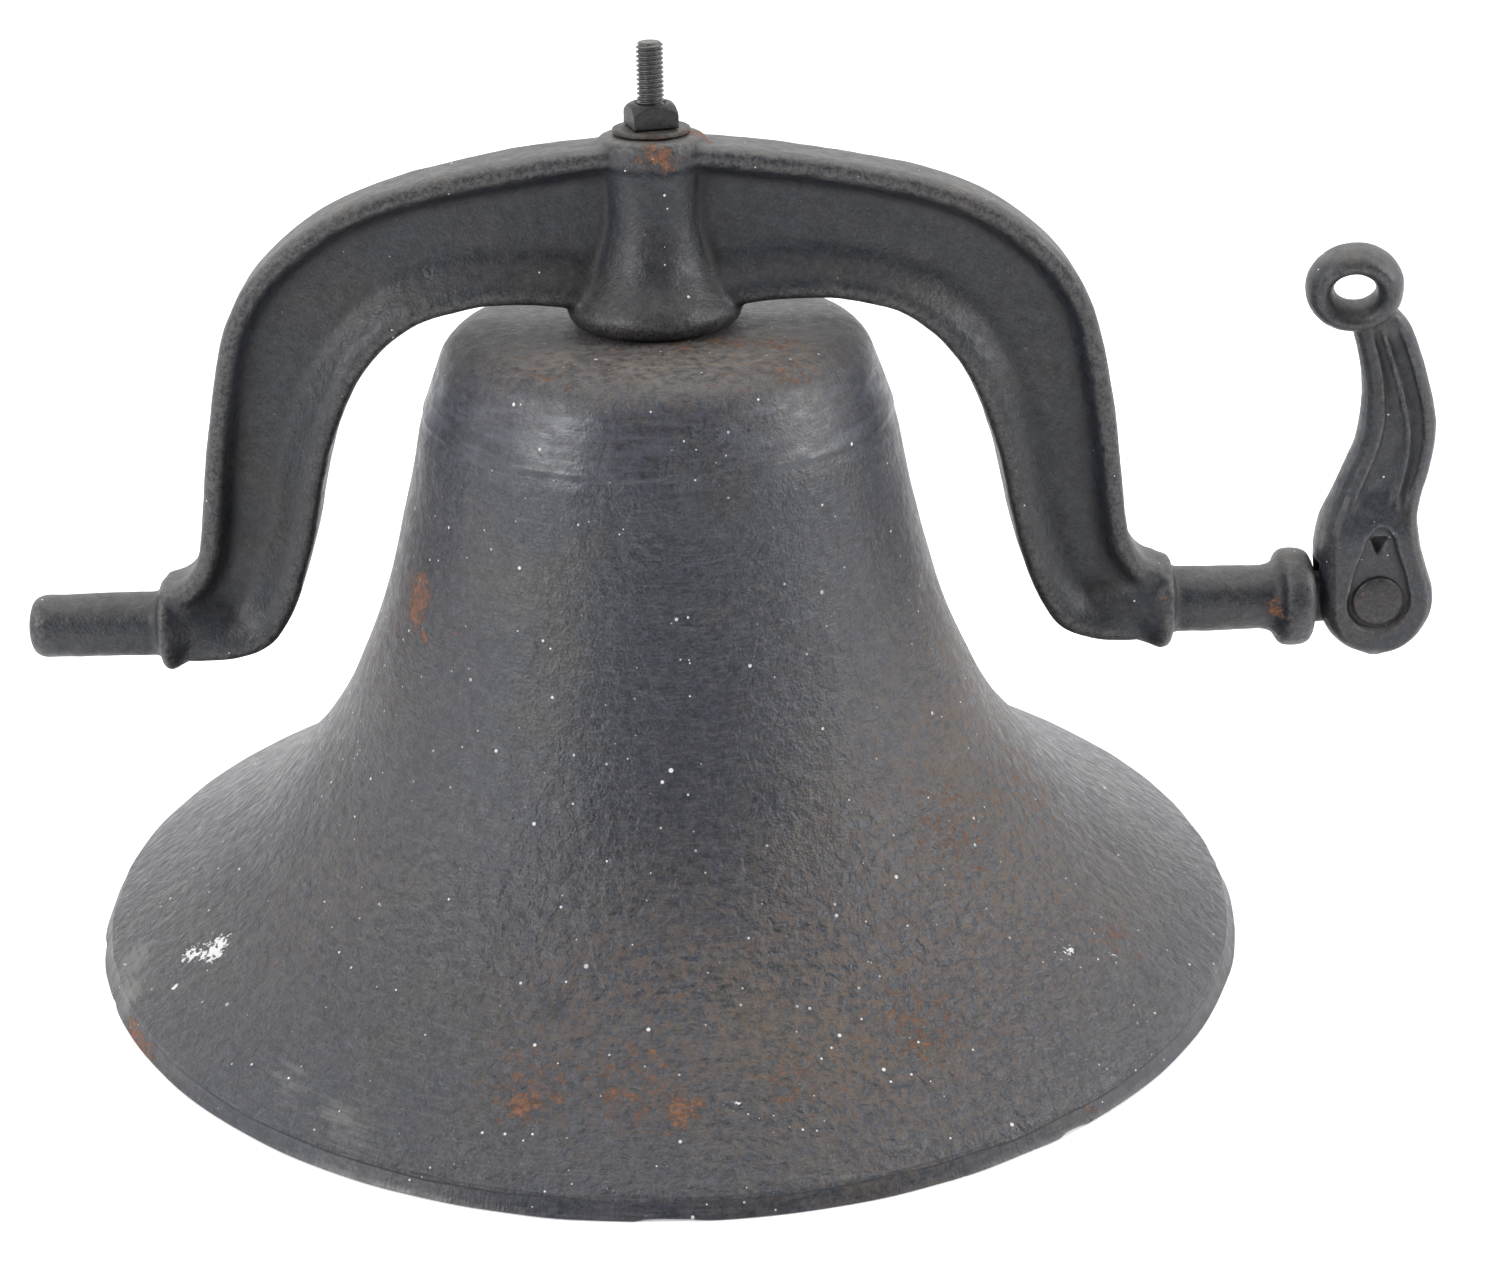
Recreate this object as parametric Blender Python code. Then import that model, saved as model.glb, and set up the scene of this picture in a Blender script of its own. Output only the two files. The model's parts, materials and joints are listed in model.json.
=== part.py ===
"""Yard dinner bell: a cast bell hung from an arched yoke, with its clapper and rope lever.

Run with: blender --background --python part.py
Units are metres, +Z is up, and the bell stands on its rim with the rim's face at z = 0.
X runs along the yoke's journals. The lever end is +X.
"""
import math

import bmesh
import bpy
import numpy as np
from mathutils import Matrix, Vector

MM = 0.001
GAP = 0.3 * MM                      # clearance between pieces that touch on the real bell

# Where the bell's own axis stands, so that the whole object is centred on the origin in X.
AXIS_X = -25.7 * MM

# Bell
RIM_RADIUS = 215.9 * MM             # 17 in across the mouth
RIM_BAND = 6.2 * MM                 # ground band at the rim, leaning in by the slant
RIM_SLANT = 3.2 * MM
CROWN_HEIGHT = 229.5 * MM
WAIST_WALL = 6.2 * MM
RIM_WALL_EXTRA = 2.6 * MM
CROWN_WALL_EXTRA = 2.8 * MM
BOLT_HOLE_RADIUS = 5.5 * MM
BELL_STEPS = 48

# Yoke
ARCH_SHIFT = 1.3 * MM
YOKE_HALF_DEPTH = 14.0 * MM
WEB_HALF_DEPTH = 5.0 * MM
PAD_TOP = 297.4 * MM
JOURNAL_HEIGHT = 118.0 * MM
JOURNAL_RADIUS = 11.9 * MM
LEFT_COLLAR_END = 185.0 * MM
LEFT_JOURNAL_END = 234.0 * MM
RIGHT_COLLAR_END = 188.0 * MM
RIGHT_JOURNAL_END = 228.0 * MM
OUTER_COLLAR_END = 240.4 * MM
COLLAR_RADIUS = 17.6 * MM
OUTER_COLLAR_RADIUS = 18.3 * MM
LUG_HALF_DEPTH = 4.6 * MM
LUG_RADIUS = 12.5 * MM
LUG_HALF_HEIGHT = 9.0 * MM

# Rope lever, drawn round its pin
LEVER_PIN = Vector((263.5 * MM, 0.0, 119.5 * MM))
FORK_HALF_DEPTH = 12.5 * MM
ARM_HALF_DEPTH = 9.0 * MM
ARM_END_HALF_DEPTH = 6.2 * MM
FORK_SLOT_HALF = LUG_HALF_DEPTH + GAP
SLOT_RADIUS = 14.0 * MM
FORK_RADIUS = 21.2 * MM             # round foot of the fork, and its centre from the pin
FORK_SHIFT = 0.9 * MM
FORK_DROP = -1.0 * MM
LEVER_DRAFT = 4.6 * MM
CHANNEL_DEPTH = 2.2 * MM
LEVER_RECESS = 2.4 * MM
RECESS_RADIUS = 12.4 * MM
PIN_RADIUS = 6.2 * MM
PIN_HEAD_RADIUS = 9.4 * MM
PIN_HEAD_THICKNESS = 1.9 * MM
EYE_CENTRE = Vector((-15.0 * MM, 0.0, 116.6 * MM))
EYE_RING_RADIUS = 12.2 * MM
EYE_LEAN = math.radians(12.0)
EYE_TURN = math.radians(-13.0)
EYE_HEIGHT_SHARE = 0.93
EYE_SECTION = (4.9 * MM, 9.0 * MM)  # half thickness across, half length along the eye

# Hanger bolt, nut and washers
BOLT_RADIUS = 4.75 * MM             # 3/8 in
BOLT_TOP = 329.0 * MM
WASHER_RADIUS = 13.5 * MM
WASHER_THICKNESS = 1.8 * MM
WASHER_HOLE = 5.3 * MM
NUT_ACROSS_FLATS = 15.9 * MM        # 5/8 in
NUT_HEIGHT = 8.2 * MM
NUT_TURN = math.radians(14.0)
CROWN_WASHER_RADIUS = 17.0 * MM
CROWN_WASHER_THICKNESS = 2.5 * MM

# Clapper and its clevis
PIVOT_HEIGHT = 192.0 * MM
CLEVIS_RADIUS = 12.0 * MM
CLEVIS_GAP_HALF = 4.6 * MM
CLEVIS_HALF_WIDTH = 9.0 * MM
CLEVIS_BRIDGE = 9.0 * MM            # solid part between the shoulder and the slot
CLAPPER_EYE_RADIUS = 9.0 * MM
CLAPPER_EYE_HALF = 4.2 * MM
CLAPPER_PIN_RADIUS = 3.1 * MM
CLAPPER_PIN_HEAD_RADIUS = 5.2 * MM
CLAPPER_PIN_END = 18.0 * MM
COTTER_X = 15.0 * MM
COTTER_RADIUS = 0.9 * MM
BALL_RADIUS = 29.0 * MM
BALL_HEIGHT = 42.0 * MM

ROUND_STEPS = 20


# ---------------------------------------------------------------- general helpers

def clear_scene():
    for obj in list(bpy.data.objects):
        bpy.data.objects.remove(obj, do_unlink=True)


def make_material(name, colour, roughness, metallic):
    material = bpy.data.materials.new(name)
    material.use_nodes = True
    shader = material.node_tree.nodes["Principled BSDF"]
    shader.inputs["Base Color"].default_value = (*colour, 1.0)
    shader.inputs["Roughness"].default_value = roughness
    shader.inputs["Metallic"].default_value = metallic
    material.diffuse_color = (*colour, 1.0)
    return material


def make_empty(name, location, parent=None):
    empty = bpy.data.objects.new(name, None)
    bpy.context.scene.collection.objects.link(empty)
    empty.location = location
    empty.parent = parent
    return empty


def object_from_bmesh(name, bm):
    bmesh.ops.recalc_face_normals(bm, faces=bm.faces)
    if bm.calc_volume(signed=True) < 0.0:
        bmesh.ops.reverse_faces(bm, faces=bm.faces)
    mesh = bpy.data.meshes.new(name)
    bm.to_mesh(mesh)
    bm.free()
    obj = bpy.data.objects.new(name, mesh)
    bpy.context.scene.collection.objects.link(obj)
    return obj


def finish_part(obj, material, parent, location=(0.0, 0.0, 0.0), sharp_angle=35.0):
    obj.data.materials.clear()
    obj.data.materials.append(material)
    obj.data.shade_smooth()
    obj.data.set_sharp_from_angle(angle=math.radians(sharp_angle))
    obj.parent = parent
    obj.location = location
    return obj


def combine(target, operand, operation, solver="EXACT"):
    """Apply one Boolean to target and remove the operand."""
    modifier = target.modifiers.new("combine", "BOOLEAN")
    modifier.operation = operation
    modifier.solver = solver
    modifier.object = operand
    depsgraph = bpy.context.evaluated_depsgraph_get()
    result = bpy.data.meshes.new_from_object(target.evaluated_get(depsgraph))
    target.modifiers.remove(modifier)
    old_mesh = target.data
    result.name = old_mesh.name
    target.data = result
    bpy.data.meshes.remove(old_mesh)
    bpy.data.objects.remove(operand, do_unlink=True)
    return target


def spun(name, profile, steps=ROUND_STEPS, closed=False, axis="Z", centre=(0.0, 0.0, 0.0)):
    """Turn a list of (radius, height) points into a solid.

    An open profile starts and ends on the axis. A closed one is a ring's section.
    """
    bm = bmesh.new()
    verts = [bm.verts.new((radius, 0.0, height)) for radius, height in profile]
    edges = [bm.edges.new(pair) for pair in zip(verts, verts[1:])]
    if closed:
        edges.append(bm.edges.new((verts[-1], verts[0])))
    bmesh.ops.spin(
        bm, geom=verts + edges, cent=(0, 0, 0), axis=(0, 0, 1),
        angle=math.tau, steps=steps, use_merge=True,
    )
    bmesh.ops.remove_doubles(bm, verts=bm.verts, dist=1e-6)
    turn = {
        "Z": Matrix.Identity(4),
        "X": Matrix.Rotation(math.pi / 2, 4, "Y"),
        "Y": Matrix.Rotation(-math.pi / 2, 4, "X"),
    }[axis]
    bm.transform(Matrix.Translation(centre) @ turn)
    return object_from_bmesh(name, bm)


def rod(name, radius, low, high, axis="Z", centre=(0.0, 0.0, 0.0), steps=ROUND_STEPS):
    profile = [(0.0, high), (radius, high), (radius, low), (0.0, low)]
    return spun(name, profile, steps, axis=axis, centre=centre)


def slab(name, outline, low, high):
    """Extrude an XZ outline along Y from low to high."""
    return lofted(name, [(low, outline), (high, outline)])


def skinned(name, rings):
    """Join equal-length rings of 3-D points into one solid, closed at its two ends."""
    bm = bmesh.new()
    loops = [[bm.verts.new(point) for point in ring] for ring in rings]
    for near, far in zip(loops, loops[1:]):
        for i, start in enumerate(near):
            j = (i + 1) % len(near)
            bm.faces.new((start, near[j], far[j], far[i]))
    bm.faces.new(loops[0])
    bm.faces.new(loops[-1][::-1])
    bmesh.ops.triangulate(bm, faces=bm.faces)
    return object_from_bmesh(name, bm)


def lofted(name, levels):
    """Join equal-length XZ outlines, each at its own Y, into one solid with flat ends."""
    return skinned(name, [[(x, depth, z) for x, z in outline] for depth, outline in levels])


def smooth_line(points, steps=2):
    """A Catmull-Rom line through points of any dimension, ends included."""
    padded = np.array([points[0]] + list(points) + [points[-1]], dtype=float)
    line = []
    for p0, p1, p2, p3 in zip(padded, padded[1:], padded[2:], padded[3:]):
        for t in np.arange(steps) / steps:
            point = 2 * p1 + (p2 - p0) * t + (2 * p0 - 5 * p1 + 4 * p2 - p3) * t ** 2
            point += (3 * p1 - p0 - 3 * p2 + p3) * t ** 3
            line.append(tuple(float(value) for value in 0.5 * point))
    line.append(tuple(points[-1]))
    return line


def scaled(points):
    return [(x * MM, z * MM) for x, z in points]


def inset(outline, distance):
    """Move each corner of a closed outline inward, keeping the walls' spacing at corners."""
    area = 0.0
    for (x0, z0), (x1, z1) in zip(outline, outline[1:] + outline[:1]):
        area += x0 * z1 - x1 * z0
    side = 1.0 if area > 0 else -1.0
    moved = []
    for i, point in enumerate(outline):
        here = Vector(point)
        before = (here - Vector(outline[i - 1])).normalized()
        after = (Vector(outline[(i + 1) % len(outline)]) - here).normalized()
        normals = [Vector((-d.y, d.x)) * side for d in (before, after)]
        middle = (normals[0] + normals[1]).normalized()
        spread = max(middle.dot(normals[0]), 0.4)
        moved.append(tuple(here + middle * (distance / spread)))
    return moved


def arc(centre, radius, start_deg, end_deg, steps):
    """Points on an arc in XZ, from start to end."""
    points = []
    for k in range(steps + 1):
        angle = math.radians(start_deg + (end_deg - start_deg) * k / steps)
        points.append((centre[0] + radius * math.cos(angle), centre[1] + radius * math.sin(angle)))
    return points


# ---------------------------------------------------------------- bell

def bell_outer_profile():
    """Outside of the bell from the crown's edge down to the rim, as (radius, height)."""
    shoulder = [(62, 229.5), (68.2, 228.4), (73, 225.8), (76.4, 221.5), (78.2, 216.5), (80.3, 211)]
    band = [(83.2, 203.5), (84.2, 200), (85.4, 195)]
    waist = [(89.6, 175), (95.8, 150), (103.3, 125), (113.6, 100), (124.2, 80), (139.6, 60)]
    flange = [(157.5, 42.5), (175.5, 30), (190.8, 20.2), (204, 12.4), (211, 8.3)]
    return scaled(shoulder + band + smooth_line(waist, 2) + flange)


def wall_thickness(height):
    low = RIM_WALL_EXTRA * math.exp(-height / (25 * MM))
    high = CROWN_WALL_EXTRA * max(0.0, (height - 180 * MM) / (CROWN_HEIGHT - 180 * MM))
    return WAIST_WALL + low + high


def bell_inner_profile(outer):
    """The outside moved inward by the wall's thickness, from the crown down to the rim's face."""
    inner = []
    for i in range(1, len(outer) - 1, 2):
        along = (Vector(outer[i + 1]) - Vector(outer[i - 1])).normalized()
        inward = Vector((along.y, -along.x))
        point = Vector(outer[i]) + inward * wall_thickness(outer[i][1])
        if point.y > 1.5 * MM:
            inner.append(tuple(point))
    below, above = Vector(inner[-1]), Vector(inner[-2])
    slope = (below.x - above.x) / (above.y - below.y)
    inner.append((below.x + slope * below.y, 0.0))
    return inner


def make_bell():
    outer = bell_outer_profile()
    inner = bell_inner_profile(outer)
    ceiling = CROWN_HEIGHT - WAIST_WALL - CROWN_WALL_EXTRA
    inner = [(BOLT_HOLE_RADIUS, ceiling), (CROWN_WASHER_RADIUS * 1.6, ceiling)] + inner
    rim = [(RIM_RADIUS - RIM_SLANT, RIM_BAND + 0.7 * MM), (RIM_RADIUS, 0.8 * MM), (RIM_RADIUS, 0.0)]
    crown = [(BOLT_HOLE_RADIUS, CROWN_HEIGHT)]
    return spun("bell", crown + outer + rim + inner[::-1], BELL_STEPS, closed=True)


# ---------------------------------------------------------------- yoke

def arch_ribs():
    """Lines across the right half of the arch, from its crown to the collar.

    Each is (outer x, outer z, inner x, inner z, share of the full depth, share of the pocket).
    """
    ribs = [
        (0, 294.8, 0, 236, 1, 1), (20, 294.4, 20, 236.4, 1, 1), (38, 292.3, 35, 238.6, 1, 1),
        (60, 289, 50, 239.5, 1, 1), (81, 284.7, 62, 239.2, 1, 1), (100, 279.5, 73, 237, 1, 1),
        (118, 271.5, 84, 233.8, 1, 1), (134, 260, 93.6, 227.8, 1, 1), (146, 247.3, 102.2, 219.6, 1, 1),
        (153.4, 233.4, 108.6, 210.8, 1, 1), (157.6, 218.6, 113.4, 200.8, 1, 1),
        (161, 202.2, 117.8, 189.6, 1, 1),
        (164, 184.2, 121.7, 176.3, 1, 1), (166.5, 166, 125, 161.8, 1, 1), (168.4, 154.2, 128.6, 147.8, 1, 1),
        (170, 147.3, 133.2, 133.6, 1, 1), (172.2, 142.8, 138.7, 122, 1, 1),
        (174.6, 139.4, 145.4, 112.8, 1, 0.9), (177.2, 137.2, 156, 108, 0.97, 0.5),
        (180, 136, 168, 106.2, 0.92, 0), (184, 135.2, 182, 106.4, 0.86, 0),
    ]
    scale = (MM, MM, MM, MM, 1.0, 1.0)
    return [tuple(value * unit for value, unit in zip(rib, scale)) for rib in ribs]


def leaned(rib):
    """The casting's legs sit a little to the lever's side of the bell's axis."""
    outer_x, outer_z, inner_x, inner_z, depth_share, pocket_share = rib
    shift = ARCH_SHIFT * min(1.0, abs(outer_x) / (120 * MM)) * pocket_share
    return outer_x + shift, outer_z, inner_x + shift, inner_z, depth_share, pocket_share


def arch_section(rib):
    """Closed ring across the arch: two rolled flanges joined by a thin web."""
    outer_x, outer_z, inner_x, inner_z, depth_share, pocket_share = rib
    outer = Vector((outer_x, 0.0, outer_z))
    inner = Vector((inner_x, 0.0, inner_z))
    across = (inner - outer).normalized()
    half = YOKE_HALF_DEPTH * depth_share
    sink = (half - WEB_HALF_DEPTH) * pocket_share
    # (distance in from the edge, half depth there)
    roll = [(0.0, half - 4.8 * MM), (1.1 * MM, half - 1.4 * MM), (3.4 * MM, half)]
    flank = [(6.2, 0.06), (8.6, 0.36), (11.2, 0.78), (14.4, 1.0)]
    edge = roll + [(distance * MM, half - sink * share) for distance, share in flank]
    ring = []
    for side in (1, -1):
        out_points = [outer + across * d + Vector((0, side * y, 0)) for d, y in edge]
        in_points = [inner - across * d + Vector((0, side * y, 0)) for d, y in edge]
        path = out_points + in_points[::-1]
        ring += path if side == 1 else path[::-1]
    return ring


def make_arch():
    right = arch_ribs()
    left = [(-rib[0], rib[1], -rib[2], rib[3], rib[4], rib[5]) for rib in reversed(right[1:])]
    return skinned("yoke", [arch_section(leaned(rib)) for rib in left + right])


def boss_solid():
    """Flared column in the middle of the arch, from its foot on the crown to the nut's pad."""
    foot = CROWN_HEIGHT + GAP
    profile = [(0.0, PAD_TOP), (15.6 * MM, PAD_TOP), (17.0 * MM, PAD_TOP - 1.2 * MM)]
    profile += scaled([(17.6, 292), (17.6, 288), (16.6, 284.5), (16.4, 278), (17.2, 267), (19.4, 257.5),
                       (23.0, 249.5), (27.4, 243.5), (30.4, 239), (31.2, 235.5)])
    profile += [(30.0 * MM, foot + 2.2 * MM), (26.5 * MM, foot), (0.0, foot)]
    return spun("boss", profile, 24)


def left_trunnion():
    """Collar and plain journal on the -X side, drawn outward along -X."""
    end = LEFT_JOURNAL_END
    profile = [(0.0, -end), (7.6 * MM, -end), (10.6 * MM, -end + 1.8 * MM),
               (JOURNAL_RADIUS, -end + 4.6 * MM), (JOURNAL_RADIUS, -LEFT_COLLAR_END - 1.2 * MM),
               (JOURNAL_RADIUS + 1.2 * MM, -LEFT_COLLAR_END),
               (COLLAR_RADIUS - 1.0 * MM, -LEFT_COLLAR_END), (COLLAR_RADIUS, -LEFT_COLLAR_END + 1.6 * MM),
               (COLLAR_RADIUS - 0.6 * MM, -LEFT_COLLAR_END + 4.0 * MM), (13.0 * MM, -172 * MM),
               (10.0 * MM, -160 * MM), (0.0, -160 * MM)]
    return spun("left_trunnion", profile[::-1], axis="X", centre=(0, 0, JOURNAL_HEIGHT))


def right_trunnion():
    """Inner collar, journal and outer collar on the +X side."""
    inner = RIGHT_COLLAR_END
    journal = RIGHT_JOURNAL_END
    outer = OUTER_COLLAR_END
    rim = OUTER_COLLAR_RADIUS
    profile = [(0.0, 160 * MM), (10.0 * MM, 160 * MM), (13.0 * MM, 172 * MM),
               (COLLAR_RADIUS - 1.2 * MM, inner - 6.0 * MM), (COLLAR_RADIUS - 0.3 * MM, inner - 2.4 * MM),
               (COLLAR_RADIUS - 1.4 * MM, inner), (JOURNAL_RADIUS + 1.2 * MM, inner),
               (JOURNAL_RADIUS, inner + 1.4 * MM), (JOURNAL_RADIUS, journal - 2.4 * MM),
               (JOURNAL_RADIUS + 1.6 * MM, journal), (rim - 2.0 * MM, journal),
               (rim - 0.4 * MM, journal + 2.0 * MM), (rim, journal + 4.6 * MM), (rim, outer - 4.2 * MM),
               (rim - 1.0 * MM, outer - 1.4 * MM), (rim - 3.4 * MM, outer), (0.0, outer)]
    return spun("right_trunnion", profile, axis="X", centre=(0, 0, JOURNAL_HEIGHT))


def lug_solid():
    """Flat eye that the lever's fork straddles."""
    pin_x, pin_z = LEVER_PIN.x, LEVER_PIN.z
    start = OUTER_COLLAR_END - 4.0 * MM
    top = JOURNAL_HEIGHT + LUG_HALF_HEIGHT
    bottom = JOURNAL_HEIGHT - LUG_HALF_HEIGHT
    outline = [(start, bottom), (start + 7.0 * MM, bottom)]
    outline += arc((pin_x, pin_z), LUG_RADIUS, -125, 125, 20)
    outline += [(start + 7.0 * MM, top), (start, top)]
    return slab("lug", outline, -LUG_HALF_DEPTH, LUG_HALF_DEPTH)


def make_yoke():
    yoke = make_arch()
    lever_end = combine(right_trunnion(), lug_solid(), "UNION", solver="MANIFOLD")
    for solid in (boss_solid(), left_trunnion(), lever_end):
        combine(yoke, solid, "UNION")
    bolt_hole = rod("bolt_hole", BOLT_HOLE_RADIUS, CROWN_HEIGHT - 5 * MM, PAD_TOP + 5 * MM)
    combine(yoke, bolt_hole, "DIFFERENCE")
    pin_hole = rod("pin_hole", PIN_RADIUS + GAP, -20 * MM, 20 * MM, axis="Y", centre=LEVER_PIN)
    return combine(yoke, pin_hole, "DIFFERENCE")


# ---------------------------------------------------------------- rope lever

def lever_ribs():
    """Left and right edges of the lever at heights above its pin, as (height, left, right)."""
    cheek = []
    for angle in (-86, -74, -60, -44, -26, -8):
        reach = FORK_RADIUS * math.cos(math.radians(angle))
        height = FORK_DROP + FORK_RADIUS * math.sin(math.radians(angle))
        cheek.append((height, FORK_SHIFT - reach, FORK_SHIFT + reach))
    arm = [(3, -20.4, 21.6), (12, -21.4, 18.6), (21, -21.6, 15.6), (30, -20.2, 13.9), (39, -17.0, 14.8),
           (48, -13.8, 16.8), (57, -10.7, 18.0), (66, -9.0, 18.0), (75, -8.8, 16.2), (84, -9.8, 13.4),
           (93, -12.0, 10.2), (100, -14.2, 7.2), (108, -16.2, 1.4)]
    return cheek + [tuple(value * MM for value in rib) for rib in arm]


def eased(value, low, high):
    """0 below low, 1 above high, and a smooth step between."""
    share = min(max((value - low) / (high - low), 0.0), 1.0)
    return share * share * (3 - 2 * share)


def lever_half_depth(height):
    """Deepest at the fork, rounded under its foot, least where the arm meets the eye."""
    depth = FORK_HALF_DEPTH + (ARM_HALF_DEPTH - FORK_HALF_DEPTH) * eased(height, 22 * MM, 44 * MM)
    depth += (ARM_END_HALF_DEPTH - ARM_HALF_DEPTH) * eased(height, 60 * MM, 100 * MM)
    return depth - 5.0 * MM * (1.0 - eased(height, -24.5 * MM, -18 * MM))


def lever_section(rib):
    """Ring at one height: drafted sides, a channel in each face and a rib down its middle."""
    height, left, right = rib
    half = lever_half_depth(height)
    width = right - left
    draft = min(LEVER_DRAFT, 0.3 * width)
    sink = CHANNEL_DEPTH * eased(height, 32 * MM, 44 * MM) * (1.0 - eased(height, 88 * MM, 98 * MM))
    face = width - 2.0 * draft
    # (share of the half width measured from the lever's middle, half depth there)
    across = [(1.0, 0.3 * half), (1.0 - 1.5 * draft / width, 0.86 * half), (face / width, half),
              (0.8 * face / width, half), (0.66 * face / width, half - sink),
              (0.26 * face / width, half - sink), (0.14 * face / width, half - 0.25 * sink)]
    middle = 0.5 * (left + right)
    ring = []
    for side in (1, -1):
        out = [(middle + 0.5 * width * share, side * depth, height) for share, depth in across]
        back = [(middle - 0.5 * width * share, side * depth, height) for share, depth in reversed(across)]
        path = out + back
        ring += path if side == 1 else path[::-1]
    return ring


def lever_body():
    return skinned("pull_lever", [lever_section(rib) for rib in lever_ribs()])


def rope_eye():
    """Slightly oval ring that the rope ties to, turned a little and its top leaning forward."""
    across, along = EYE_SECTION
    profile = []
    for k in range(14):
        angle = math.tau * k / 14
        profile.append((EYE_RING_RADIUS + across * math.cos(angle), along * math.sin(angle)))
    eye = spun("eye", profile, 28, closed=True, axis="Y")
    turn = Matrix.Rotation(EYE_TURN, 4, "Z") @ Matrix.Rotation(EYE_LEAN, 4, "X")
    eye.data.transform(Matrix.Translation(EYE_CENTRE) @ turn @ Matrix.Diagonal((1, 1, EYE_HEIGHT_SHARE, 1)))
    return eye


def fork_slot():
    """Slot for the lug, open from the side facing the yoke round to below the pin."""
    outline = [(-60 * MM, -60 * MM), (SLOT_RADIUS, -60 * MM)]
    outline += arc((0, 0), SLOT_RADIUS, 0, 100, 8)
    outline += scaled([(-6, 14), (-60, 12)])
    return slab("fork_slot", outline, -FORK_SLOT_HALF, FORK_SLOT_HALF)


def lever_recess(side):
    """Sunk teardrop round the pin on one face of the fork."""
    point = [(9.0, 12), (5.8, 21), (3.2, 28), (-0.8, 31), (-5.4, 28.4), (-8, 21), (-10.4, 12.4)]
    drop = arc((0.0, 0.0), RECESS_RADIUS, 160, 380, 16) + smooth_line(scaled(point), 2)
    top = FORK_HALF_DEPTH + 2.0 * MM
    floor = FORK_HALF_DEPTH - LEVER_RECESS
    levels = [(side * top, drop), (side * floor, inset(drop, 1.2 * MM))]
    return lofted("recess", levels)


def make_lever():
    lever = lever_body()
    seat = rod("eye_seat", EYE_RING_RADIUS - 1.0 * MM, -20 * MM, 20 * MM, axis="Y", centre=EYE_CENTRE, steps=29)
    combine(lever, seat, "DIFFERENCE")
    combine(lever, rope_eye(), "UNION")
    combine(lever, fork_slot(), "DIFFERENCE")
    for side in (-1, 1):
        combine(lever, lever_recess(side), "DIFFERENCE")
    vent = slab("vent", scaled([(-1.4, 17.6), (1.9, 24.8), (-4.7, 24.8)]), -30 * MM, 30 * MM)
    combine(lever, vent, "DIFFERENCE")
    hole = rod("hole", PIN_RADIUS + GAP, -30 * MM, 30 * MM, axis="Y")
    return combine(lever, hole, "DIFFERENCE")


def make_lever_pin():
    """Rivet with a low round head on each side of the fork."""
    seat = FORK_HALF_DEPTH - LEVER_RECESS + GAP
    tip = seat + PIN_HEAD_THICKNESS
    head = PIN_HEAD_RADIUS
    half = [(0.0, tip), (head - 1.2 * MM, tip - 0.1 * MM), (head, tip - 0.8 * MM), (head, seat),
            (PIN_RADIUS, seat)]
    profile = half + [(radius, -height) for radius, height in reversed(half)]
    return spun("lever_pin", profile, axis="Y")


# ---------------------------------------------------------------- hanger bolt, nut and washers

def ring_plate(name, radius, hole, low, high, steps=32):
    edge = 0.25 * (high - low)
    profile = [(hole, high), (radius - edge, high), (radius, high - edge), (radius, low + edge),
               (radius - edge, low), (hole, low)]
    return spun(name, profile, steps, closed=True)


def crown_washer_levels():
    top = CROWN_HEIGHT - WAIST_WALL - CROWN_WALL_EXTRA - GAP
    return top - CROWN_WASHER_THICKNESS, top


def make_hanger_bolt():
    """Stud with a forged clevis at its lower end."""
    shoulder = crown_washer_levels()[0] - GAP
    bolt = spun("hanger_bolt", [
        (0.0, BOLT_TOP), (BOLT_RADIUS - 1.3 * MM, BOLT_TOP), (BOLT_RADIUS, BOLT_TOP - 1.4 * MM),
        (BOLT_RADIUS, shoulder), (CLEVIS_RADIUS - 1.2 * MM, shoulder), (CLEVIS_RADIUS, shoulder - 1.5 * MM),
        (CLEVIS_RADIUS, PIVOT_HEIGHT), (0.0, PIVOT_HEIGHT),
    ])
    reach = CLEVIS_RADIUS - 0.7 * MM
    ears = rod("ears", CLEVIS_HALF_WIDTH, -reach, reach, axis="X", centre=(0, 0, PIVOT_HEIGHT))
    combine(bolt, ears, "UNION")
    slot_top = shoulder - CLEVIS_BRIDGE
    slot = slab("slot", [(-CLEVIS_GAP_HALF, 0.1), (CLEVIS_GAP_HALF, 0.1),
                         (CLEVIS_GAP_HALF, slot_top), (-CLEVIS_GAP_HALF, slot_top)], -0.03, 0.03)
    combine(bolt, slot, "DIFFERENCE")
    for side in (-1, 1):
        foot = shoulder - 5 * MM
        flat = slab("flat", [(-0.03, 0.1), (0.03, 0.1), (0.03, foot), (-0.03, foot)],
                    side * (CLEVIS_HALF_WIDTH - 0.5 * MM), side * 0.03)
        combine(bolt, flat, "DIFFERENCE")
    hole = rod("hole", CLAPPER_PIN_RADIUS + GAP, -0.03, 0.03, axis="X", centre=(0, 0, PIVOT_HEIGHT))
    return combine(bolt, hole, "DIFFERENCE")


def make_nut():
    """Square nut with its top corners turned off."""
    bottom = PAD_TOP + GAP + WASHER_THICKNESS + GAP
    top = bottom + NUT_HEIGHT
    half = NUT_ACROSS_FLATS / 2
    corner = half * math.sqrt(2)
    nut = slab("square_nut", [(-half, bottom), (half, bottom), (half, top), (-half, top)], -half, half)
    envelope = spun("envelope", [
        (0.0, top), (half * 0.94, top), (corner, top - 2.4 * MM), (corner + 1 * MM, bottom), (0.0, bottom),
    ], 40)
    combine(nut, envelope, "INTERSECT")
    combine(nut, rod("hole", BOLT_RADIUS + GAP, bottom - 5 * MM, top + 5 * MM), "DIFFERENCE")
    nut.data.transform(Matrix.Rotation(NUT_TURN, 4, "Z"))
    return nut


# ---------------------------------------------------------------- clapper

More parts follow.
